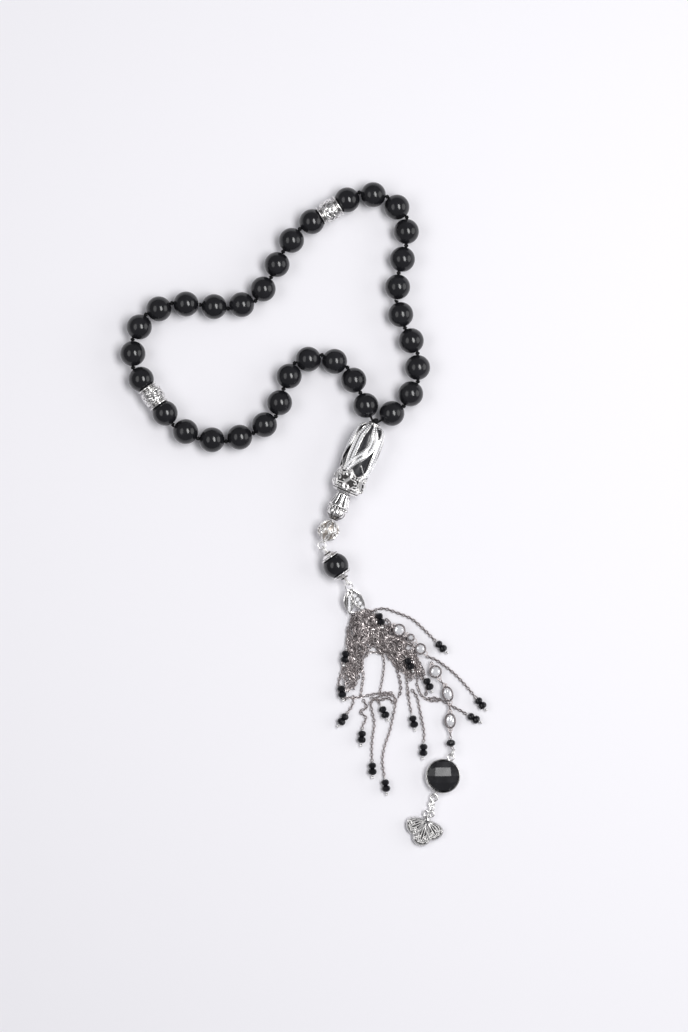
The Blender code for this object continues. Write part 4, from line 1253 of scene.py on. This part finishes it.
@dataclass
class Tassel:
    """The fine chains, their drops, the set crystals, the black stone and the charm.

    Attributes:
        pitch: From one link to the next.
        link: Length and width of a link over its wire.
        wire: The radius of a link's wire.
        strands: How many chains run through the tangle.
        seed: What the tangle's small wanderings start from.
        left_arm: The x, the y and the tangle's half width down its left arm.
        right_arm: The same down its right arm.
        stone_way: The way from the strand's last ring to the charm.
        stone_radius: The black stone's radius.
    """

    pitch: float = 0.92
    link: tuple[float, float] = (1.50, 1.12)
    wire: float = 0.16
    strands: int = 52
    seed: int = 7
    left_arm: tuple[tuple[float, ...], ...] = (
        (16.3, -30.3, 1.7), (17.2, -35.0, 3.8), (17.0, -40.0, 3.9), (15.6, -45.5, 3.3),
        (13.8, -51.0, 3.0), (12.4, -56.5, 2.4))
    right_arm: tuple[tuple[float, ...], ...] = (
        (17.4, -30.3, 1.9), (22.0, -35.6, 4.7), (26.8, -40.0, 4.8), (31.4, -44.4, 4.4),
        (35.2, -48.8, 3.6), (36.2, -54.5, 2.4))
    stone_way: tuple[float, float, float] = (-0.383, -0.924, 0.0)
    stone_radius: float = 5.0

    def link_shape(self) -> Shape:
        """One link: a wire round an oval, lying in XY with its length along Y.

        Returns:
            The link, with painted shade inside and underneath.
        """
        a = np.linspace(0, TAU, 8, endpoint=False)
        long, wide = self.link[0] / 2 - self.wire, self.link[1] / 2 - self.wire
        path = np.stack([wide * np.cos(a), long * np.sin(a), 0 * a], -1)
        shape = tube(path, self.wire, 4, UP, closed=True)
        # painted shade on the inside of the loop and on its underside
        inside = np.hypot(shape.points[:, 0] / wide, shape.points[:, 1] / long)
        shape.shade = np.where(inside < 0.95, 0.85, np.where(shape.points[:, 2] < -0.05, 0.7, 0.0))
        return shape

    def chain(self, path: Points, start: float = 0.0, drift: float = 0.0) -> Shape:
        """Links along a path, each rolled a quarter turn from the last.

        Args:
            path: The chain's line.
            start: The first link's roll, in radians.
            drift: How much each link rolls beyond the quarter turn.

        Returns:
            The chain: link n stands at n pitches along the path.
        """
        run = run_of(path)
        at = np.arange(self.pitch / 2, run[-1], self.pitch)
        spots = np.stack([np.interp(at, run, path[:, i]) for i in range(3)], -1)
        forward = unit(np.stack([np.interp(at, run, np.gradient(path[:, i], run))
                                 for i in range(3)], -1))
        side = unit(np.cross(forward, UP))
        over = np.cross(side, forward)
        roll = start + math.pi / 2 * (np.arange(len(at)) % 2) + 0.35 + drift * np.arange(len(at))
        c, s = np.cos(roll)[:, None], np.sin(roll)[:, None]
        turns = np.stack([c * side + s * over, forward, c * over - s * side], 1)
        return copies(self.link_shape(), spots, turns)

    def drop(self, at: Points, direction: Points, gap: float = 0.3) -> list[Shape]:
        """Two faceted black beads on a pin that ends in a small silver ball.

        Args:
            at: Where the drop starts.
            direction: The way it lies.
            gap: From the start to the first bead.

        Returns:
            The beads with finish 1, and the wire and ball with finish 2.
        """
        bead = cut_stone([(-0.98, 0.55), (-0.62, 1.08), (0.0, 1.32), (0.62, 1.08), (0.98, 0.55)],
                         12)
        place = Place.along(at, direction)
        spots = np.array([[0, 0, gap + 0.95], [0, 0, gap + 2.9]])
        beads = copies(bead, spots, np.tile(np.eye(3), (2, 1, 1)), np.array([1.0, 1.08]))
        pin = np.linspace(-0.2, gap + 4.9, 4)[:, None] * UP
        tip = ball(0.50, 8, 6)
        tip.points[:, 2] += gap + 4.7
        wires = [tube(pin, 0.14, 6, X_AXIS), tip,
                 ring(0.42, 0.13, (0, 0, -0.35), Facing.TOWARDS_Y, 6, 12)]
        return [beads.placed(place).finished(1), joined(wires).placed(place).finished(2)]

    def tangle(self, layout: Layout) -> Shape:
        """The tangle: chains that wander across the width of both arms as they run down.

        Args:
            layout: Where the set lies.

        Returns:
            The chains. Each one's distance from the arm's middle is a slow sine of its run.
        """
        random = np.random.default_rng(self.seed)
        parts = []
        for k in range(self.strands):
            arm = np.array(self.left_arm if k % 5 < 2 else self.right_arm)
            line = smooth(arm[:, :2], 0.7)
            wide = np.interp(np.linspace(0, 1, len(line)), np.linspace(0, 1, len(arm)), arm[:, 2])
            t = np.linspace(0, 1, len(line))
            first, last = sorted(random.uniform(0, 1, 2) * (0.35, 1.0))
            if last - first < 0.45:
                first, last = 0.0, random.uniform(0.6, 1.0)
            across = np.sin(TAU * (random.uniform(0.4, 1.5) * t + random.uniform()))
            across = across * random.uniform(0.3, 1.0) + random.uniform(0.12, 0.40) * np.sin(
                TAU * (random.uniform(3.5, 8.0) * t + k / 7))
            forward = unit(np.gradient(line, axis=0))
            side = np.stack([-forward[:, 1], forward[:, 0]], -1)
            spots = line + np.clip(across, -1, 1)[:, None] * wide[:, None] * side
            crown = np.sqrt(np.clip(1 - 0.8 * across ** 2, 0.1, 1))
            high = 0.5 + crown * (random.uniform(0.1, 2.1) + 0.3 * np.sin(
                TAU * (random.uniform(3, 7) * t + k / 5))) * (1 - 0.35 * t)
            high = np.maximum(high, 0.45)
            path = np.column_stack([spots, high])[(t >= first) & (t <= last)] + layout.shift
            if len(path) > 4:
                parts.append(self.chain(path, random.uniform(0, 3), random.uniform(-0.5, 0.5)))
        return joined(parts)

    def laid(self, layout: Layout, route: Sequence[Sequence[float]], height: float = 0.55
             ) -> Points:
        """A loose chain's line, lying on the floor."""
        return smooth(layout.plan(route, height), 0.4)

    def build_chains(self, layout: Layout, finishes: Finishes) -> None:
        """Put in the tangle, the loose ends and their drops.

        Args:
            layout: Where the set lies.
            finishes: The materials.
        """
        dressed = [finishes.chain, finishes.jet, finishes.bright]
        inside = (
            ((14.8, -41.0), (13.2, -44.8), (11.6, -49.0), (10.5, -53.5), (11.2, -57.6),
             (13.0, -58.6)),
            ((20.0, -43.2), (23.9, -43.6), (25.0, -46.0), (24.8, -50.0), (24.0, -54.5),
             (23.6, -56.6)),
            ((17.0, -47.0), (18.4, -50.0), (18.0, -54.0), (17.4, -58.0)),
            ((27.4, -44.6), (29.4, -49.6), (30.4, -54.6), (29.6, -58.0)),
            ((29.5, -44.8), (31.6, -49.0), (32.4, -53.4), (32.6, -57.4)),
            ((12.4, -57.6), (14.5, -57.9), (16.6, -57.7), (18.8, -57.3)),
            ((35.4, -53.2), (37.0, -57.0), (40.0, -58.8), (43.6, -58.6)),
            ((37.0, -51.0), (38.6, -54.0), (38.4, -57.2)),
            ((38.8, -58.2), (41.3, -57.9), (43.9, -58.9), (47.4, -60.9), (49.8, -62.1),
             (51.1, -62.9)),
        )
        loops = [self.chain(self.laid(layout, route), 0.4 * i) for i, route in enumerate(inside)]
        spots = (((12.6, -44.4), (-0.15, -1.0), 2.0), ((11.4, -55.6), (0.2, -1.0), 1.6),
                 ((23.6, -32.4), (0.3, -1.0), 1.9), ((32.9, -46.6), (0.45, -0.9), 2.6),
                 ((39.0, -53.2), (0.45, -0.9), 1.4), ((53.4, -64.2), (0.86, -0.5), 1.1))
        drops = []
        for spot, way, height in spots:
            origin = layout.plan([spot], height)[0]
            drops += self.drop(origin - 2 * unit(np.array([*way, 0])), np.array([*way, 0]))
        put("chain_tangle", joined([self.tangle(layout)] + loops + drops), dressed,
            "chain_bundle", ["chain_bundle"], 30, False)
        tails = {
            "tail_top": [(((18.6, -31.2), (20.9, -30.2), (24.8, -29.3), (28.8, -30.5),
                           (33.8, -32.6), (38.0, -36.2), (41.6, -39.8)), True)],
            "tail_right": [(((38.6, -44.6), (41.4, -45.6), (44.4, -47.6), (47.8, -50.4),
                             (51.2, -54.0), (54.4, -57.8)), True)],
            "tail_centre": [(((20.6, -59.2), (21.2, -62.2), (21.9, -66.0), (21.4, -70.0),
                              (21.1, -74.0), (21.2, -78.2)), True),
                            (((28.9, -58.4), (28.5, -60.8), (27.8, -64.4), (26.8, -68.6),
                              (25.2, -73.4), (24.5, -78.0), (25.2, -83.6)), True),
                            (((20.6, -59.4), (23.6, -57.4), (27.6, -57.0), (28.9, -58.8)),
                             False),
                            (((19.4, -57.2), (21.5, -56.7), (24.5, -56.3), (27.9, -56.2)),
                             False),
                            (((20.8, -57.8), (23.4, -58.6), (26.4, -58.0), (28.2, -59.6)),
                             False),
                            (((23.0, -58.6), (23.4, -59.2), (23.7, -59.8), (24.0, -60.4)),
                             True)],
            "tail_inner": [(((32.7, -55.6), (33.1, -59.4), (33.9, -63.2)), True),
                           (((34.0, -55.2), (35.6, -57.8), (36.4, -61.4), (37.2, -65.2),
                             (37.8, -69.0), (37.7, -72.2)), True)],
            "tail_left": [(((18.4, -58.4), (19.4, -61.0), (17.4, -62.2), (19.2, -64.2),
                            (18.2, -66.8), (18.1, -68.0)), True),
                          (((15.2, -57.2), (15.0, -60.0), (13.2, -62.8)), True)],
        }
        for body, routes in tails.items():
            parts = []
            for route, ends in routes:
                path = self.laid(layout, route)
                parts.append(self.chain(path))
                if ends:
                    here = path[-1] + (0, 0, 0.75)
                    parts += self.drop(here, (path[-1] - path[-4]) * (1, 1, 0))
            put("fine_" + body, joined(parts), dressed, body, [body], 30, False)

    def setting(self, spot: Points, direction: Points, wide: float, long: float,
                sides: int, height: float) -> list[Shape]:
        """A crystal in an open setting painted dark with shade, with a small ring at each end.

        Args:
            spot: Its middle.
            direction: The way it lies.
            wide: Its half width.
            long: Its half length.
            sides: How many facets go round.
            height: How thick it is.

        Returns:
            The crystal with finish 1 and the setting with finish 0.
        """
        place = Place.flat(spot, direction)
        inner, stretch = wide - 0.30, (1, long / wide, 1)
        gem = cut_stone([(-0.4 * height, 0.45 * inner), (0.0, inner), (0.10, inner),
                         (0.30 * height, 0.80 * inner), (0.44 * height, 0.48 * inner)], sides)
        gem.points = gem.points * stretch
        rim = ring(wide - 0.15, 0.27, count=28, stretch=stretch, flatten=1.5)
        back = turned(np.array([(-0.5 * height, 0), (-0.5 * height, 0.8 * inner),
                                (-0.15, inner + 0.1), (-0.3, 0)]), 20)
        back.points = back.points * stretch
        rings = [ring(0.62, 0.19, (0, way * (long + 0.35), 0), sides=6, count=12)
                 for way in (-1, 1)]
        # painted shade on the rim and on the back under the crystal
        metal = joined([rim.shaded(0.62), back.shaded(0.9)] + rings)
        return [gem.placed(place).finished(1), metal.placed(place)]

    def build_strand(self, layout: Layout, finishes: Finishes) -> None:
        """Put in the crystals of the strand and those that lie on the tangle.

        Args:
            layout: Where the set lies.
            finishes: The materials.
        """
        dressed = [finishes.chain, finishes.crystal, finishes.jet, finishes.bright]
        upper = (((29.8, -36.1), (1, -0.8), 1.95, 1.95), ((33.5, -38.5), (1, -0.8), 1.2, 1.2),
                 ((36.6, -42.1), (1, -0.9), 1.75, 1.75))
        parts = []
        for spot, way, wide, long in upper:
            parts += self.setting(layout.plan([spot], 2.6)[0], np.array(way), wide, long, 8, 1.8)
        put("tangle_crystals", joined(parts), dressed, "chain_bundle", (), 25)
        lower = (((41.4, -49.4), (0.5, -0.85), 1.95, 1.95, 10), ((45.3, -56.5), (0.3, -1), 1.7,
                 2.5, 10), ((46.1, -65.1), (0.02, -1), 1.75, 2.5, 8))
        parts = []
        for spot, way, wide, long, sides in lower:
            parts += self.setting(layout.plan([spot], 2.0)[0], np.array(way), wide, long, sides,
                                  1.9)
        for route in (((39.9, -46.4), (40.6, -47.2)), ((42.6, -51.9), (44.2, -53.6)),
                      ((45.8, -59.5), (46.1, -62.1)), ((46.1, -68.1), (46.3, -70.8)),
                      ((46.5, -73.4), (47.1, -74.2))):
            line = layout.plan([route[0], np.mean(route, axis=0), route[1]], 1.8)
            parts.append(self.chain(smooth(line, 0.3)))
        rondelle = cut_stone([(-1.05, 0.7), (-0.6, 1.3), (0, 1.5), (0.6, 1.3), (1.05, 0.7)], 12)
        place = Place.along(layout.plan([(46.3, -72.2)], 1.9)[0], np.array([0.1, -1, 0]))
        parts.append(rondelle.placed(place).finished(2))
        end = Place.along(layout.at("stone_swing") + (0.29, 0.69, 0), np.array(self.stone_way))
        for wire in double_eye(0.0, Facing.TOWARDS_Y, 0.24, 0.22, 6):
            parts.append(wire.placed(end).finished(3))
        put("crystal_strand_set", joined(parts), dressed, "crystal_strand",
            ["crystal_strand"], 25)

    def stone_shape(self, radius: float, foot: float) -> Shape:
        """The stone: a square net of flat facets drawn out to a circle, on a low dome.

        Args:
            radius: The stone's radius.
            foot: The height of its underside.

        Returns:
            The stone: x and y of the net are pulled in so that its edge is round.
        """
        u, v = np.meshgrid([-1.0, -0.52, 0.52, 1.0], [-1.0, -0.45, 0.02, 0.60, 1.0])
        x = u * np.sqrt(1 - v ** 2 / 2)
        y = v * np.sqrt(1 - u ** 2 / 2)
        z = foot + 1.7 + 1.5 * np.clip(1 - (x ** 2 + y ** 2), 0, 1) ** 0.9
        z = z - 0.9 * x * np.exp(-(x ** 2 + (y - 0.3) ** 2) / 0.3) * (x ** 2 + y ** 2 < 0.9)
        top = sheet(np.stack([x * radius, y * radius, z], -1))
        side = turned(np.array([(foot, 0), (foot, radius - 0.4), (foot + 1.72, radius)]), 40)
        return top + side

    def build_stone(self, layout: Layout, finishes: Finishes) -> None:
        """Put in the black stone and its bezel.

        Args:
            layout: Where the set lies.
            finishes: The materials.
        """
        centre = layout.middle("black_stone") * (1, 1, 0)
        place = Place.flat(centre, np.array(self.stone_way))
        upright = Place(centre, np.eye(3))
        put("cut_stone", self.stone_shape(self.stone_radius, 0.9).placed(upright), [finishes.stone],
            "stone_pendant", ["black_stone"], 5)
        wall = np.array([(0, 0), (0, 5.1), (0.35, 5.5), (1.2, 5.62), (2.6, 5.60), (2.95, 5.50),
                         (3.05, 5.30), (2.95, 5.12), (2.7, 5.06), (0.6, 5.1), (0.6, 0)])
        bezel = turned(wall, 96)
        z = bezel.points[:, 2]
        # painted shade on the bezel's floor and the foot of its inner wall, under the stone
        bezel.shade = np.where((z > 0.4) & (z < 1.0), 0.5, 0.0)
        reach = 6.47
        parts = [bezel, ring(1.0, 0.26, (0, -reach, 2.55), count=20),
                 ring(1.0, 0.26, (0, reach, 1.45), Facing.AGAINST_X, count=20)]
        put("round_bezel", joined(parts).placed(place), [finishes.silver], "stone_pendant",
            ["stone_bezel"], 50)

    def fan_leaf(self, root: Points, angle: float, long: float) -> list[Shape]:
        """One leaf of the charm: two rims, a dished floor painted dark as shade, six veins and two
        curls.

        Args:
            root: Where the leaf springs.
            angle: How far it leans from Y, in radians.
            long: Its length.

        Returns:
            The leaf's parts, with its veins and curls in finish 1. Its outline is an egg
            that widens away from the root.
        """
        out = np.array([math.sin(angle), math.cos(angle), 0])
        side = np.array([out[1], -out[0], 0])
        t = np.linspace(0, TAU, 36, endpoint=False)

        def egg(size: Points | float) -> Points:
            """The outline, or rows of outlines.

            Args:
                size: The share of the full size, for one outline or for each row's points.

            Returns:
                The points: an ellipse that widens with its distance from the root.
            """
            along = 0.55 - 0.42 * size * np.cos(t)
            wide = 2.75 * size * np.sin(t) * (0.45 + 0.75 * along)
            return root + along[..., None] * long * out + wide[..., None] * side

        parts = [tube(egg(size), wire, 6, UP, closed=True, flatten=1.2)
                 for size, wire in ((1.0, 0.42), (0.62, 0.30))]
        sizes = np.linspace(0, 1, 7)[:, None] * np.ones(len(t))
        dish = egg(sizes) - (0.15 + 0.15 * (1 - sizes ** 2))[..., None] * UP
        grid = np.concatenate([dish, (dish - (0, 0, 0.2))[::-1]])
        # painted shade: a dark sheet under the veins of the openwork leaf
        parts.append(sheet(grid, wrap_columns=True, shade=0.88))
        t_vein = np.linspace(0.14, 0.90, 10)
        for lean in (-0.72, -0.43, -0.14, 0.14, 0.43, 0.72):
            bow = lean * 2.8 * np.sin(math.pi * t_vein ** 1.3)
            path = root + (0, 0, 0.22) + t_vein[:, None] * long * out + bow[:, None] * side
            parts.append(tube(path, 0.19, 6).finished(1))
        for way in (-1, 1):
            curl = s_scroll(1.7, 2.0, 20) * (way, 1)
            path = (root + (0, 0, 0.42) + (curl[:, 1:] + 0.72 * long) * out
                    + (curl[:, :1] + 1.45 * way) * side)
            parts.append(tube(path, 0.26, 6).finished(1))
        return parts

    def build_charm(self, layout: Layout, finishes: Finishes) -> None:
        """Put in the openwork fan: veined leaves spread from a small boss.

        Args:
            layout: Where the set lies.
            finishes: The materials.
        """
        way = unit(np.array([-0.300, -0.954, 0]))
        place = Place.flat(layout.at("charm_swing") + way * 1.05, way)
        foot, leaves, spread = 7.6, 3, math.radians(73.6)
        stem = smooth([(0, 1.3, 0), (0.15, 3.0, 0.1), (0, 5.2, 0.1), (0, foot - 0.5, 0)], 0.3)
        parts = [ring(1.1, 0.28, count=20), tube(stem, 0.45, 8)]
        for across, height, size in ((0.2, 2.2, 1.0), (-0.3, 3.6, 0.8), (-0.9, 5.3, 0.8),
                                     (0.9, 5.6, 0.9)):
            parts.append(ring(size, 0.30, (across, height, 0), count=16, stretch=(0.8, 1, 1)))
        boss = turned(np.array([(-0.4, 0), (-0.4, 1.0), (0.25, 1.05), (0.5, 0.7), (0.5, 0)]), 24)
        boss.points = boss.points + (0, foot, 0)
        # painted shade on the boss among the leaf roots
        parts.append(boss.shaded(0.45))
        for k in range(leaves):
            share = 2 * (k + 0.5) / leaves - 1
            parts += self.fan_leaf(np.array([0, foot, 0.05]), spread * share,
                                   8.3 * (1 - 0.42 * share ** 2))
        put("openwork_fan", joined(parts).placed(place), [finishes.silver, finishes.bright],
            "charm", ["charm"], 60)

    def build(self, layout: Layout, finishes: Finishes) -> None:
        """Put the whole tassel in.

        Args:
            layout: Where the set lies.
            finishes: The materials.
        """
        self.build_chains(layout, finishes)
        self.build_strand(layout, finishes)
        self.build_stone(layout, finishes)
        self.build_charm(layout, finishes)


# ---------------------------------------------------------------- studio

@dataclass
class Studio:
    """A pale floor, soft light from the right and a camera that looks straight down.

    Attributes:
        middle: The point of the layout that the camera looks at.
        tall: The height of the view on the floor, in metres.
        distance: The camera's height.
        floor_half: Half the floor's side, in metres.
        sensor: The height of the camera's sensor, in millimetres.
    """

    middle: tuple[float, float] = (12.2, 0.3)
    tall: float = 0.3302
    distance: float = 0.9
    floor_half: float = 5.0
    sensor: float = 36.0

    def light(self, name: str, place: tuple[float, float, float], size: tuple[float, float],
              power: float, target: Vector) -> None:
        """A soft oval light that faces the set.

        Args:
            name: The light's name.
            place: Where it stands, in metres from the target.
            size: Its two widths, in metres.
            power: Its power, in watts.
            target: The point that it faces.
        """
        data = bpy.data.lights.new(name, "AREA")
        data.shape = "ELLIPSE"
        data.size, data.size_y = size
        data.energy = power
        made = bpy.data.objects.new(name, data)
        made.location = target + Vector(place)
        made.rotation_euler = (-Vector(place)).to_track_quat("-Z", "Y").to_euler()
        bpy.context.collection.objects.link(made)

    def build(self, layout: Layout) -> None:
        """Put in the floor, the lights, the world and the camera.

        Args:
            layout: Where the set lies.
        """
        middle = Vector(((self.middle[0] + layout.shift[0]) * MM,
                         (self.middle[1] + layout.shift[1]) * MM, 0))
        mesh = bpy.data.meshes.new("floor")
        half = self.floor_half
        corners = [(-half, -half), (half, -half), (half, half), (-half, half)]
        mesh.from_pydata([(middle.x + x, middle.y + y, -0.0002) for x, y in corners], [],
                         [(0, 1, 2, 3)])
        floor = bpy.data.objects.new("floor", mesh)
        bpy.context.collection.objects.link(floor)
        paper = bpy.data.materials.new("pale floor")
        paper.use_nodes = True
        shader = paper.node_tree.nodes["Principled BSDF"]
        shader.inputs["Base Color"].default_value = (0.86, 0.85, 0.885, 1)
        shader.inputs["Roughness"].default_value = 0.9
        shader.inputs["Specular IOR Level"].default_value = 0.1
        mesh.materials.append(paper)
        world = bpy.data.worlds.new("studio")
        world.use_nodes = True
        sky = world.node_tree.nodes["Background"]
        sky.inputs["Color"].default_value = (0.96, 0.96, 1.0, 1)
        sky.inputs["Strength"].default_value = 0.23
        bpy.context.scene.world = world
        for name, place, size, power in (("key", (0.27, 0.07, 0.72), (0.62, 0.26), 4.3),
                                         ("side", (0.95, 0.10, 0.42), (0.9, 0.7), 2.9),
                                         ("fill", (-0.46, 0.03, 0.62), (0.70, 0.40), 1.3)):
            self.light(name, place, size, power, middle)
        bpy.context.scene.view_settings.view_transform = "Standard"
        data = bpy.data.cameras.new("camera")
        data.sensor_fit = "VERTICAL"
        data.sensor_height = self.sensor
        data.lens = self.sensor * self.distance / self.tall
        data.clip_start, data.clip_end = 0.01, 10.0
        camera = bpy.data.objects.new("camera", data)
        camera.location = middle + Vector((0, 0, self.distance))
        bpy.context.collection.objects.link(camera)
        bpy.context.scene.camera = camera


def main() -> None:
    """Build the set in order."""
    logging.basicConfig(level=logging.INFO, format="%(name)s: %(message)s")
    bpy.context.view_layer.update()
    layout, finishes = Layout(), Finishes()
    Studio().build(layout)
    BeadLoop().build(layout, finishes)
    Head().build(layout, finishes)
    Pendant().build(layout, finishes)
    Tassel().build(layout, finishes)


if __name__ == "__main__":
    main()
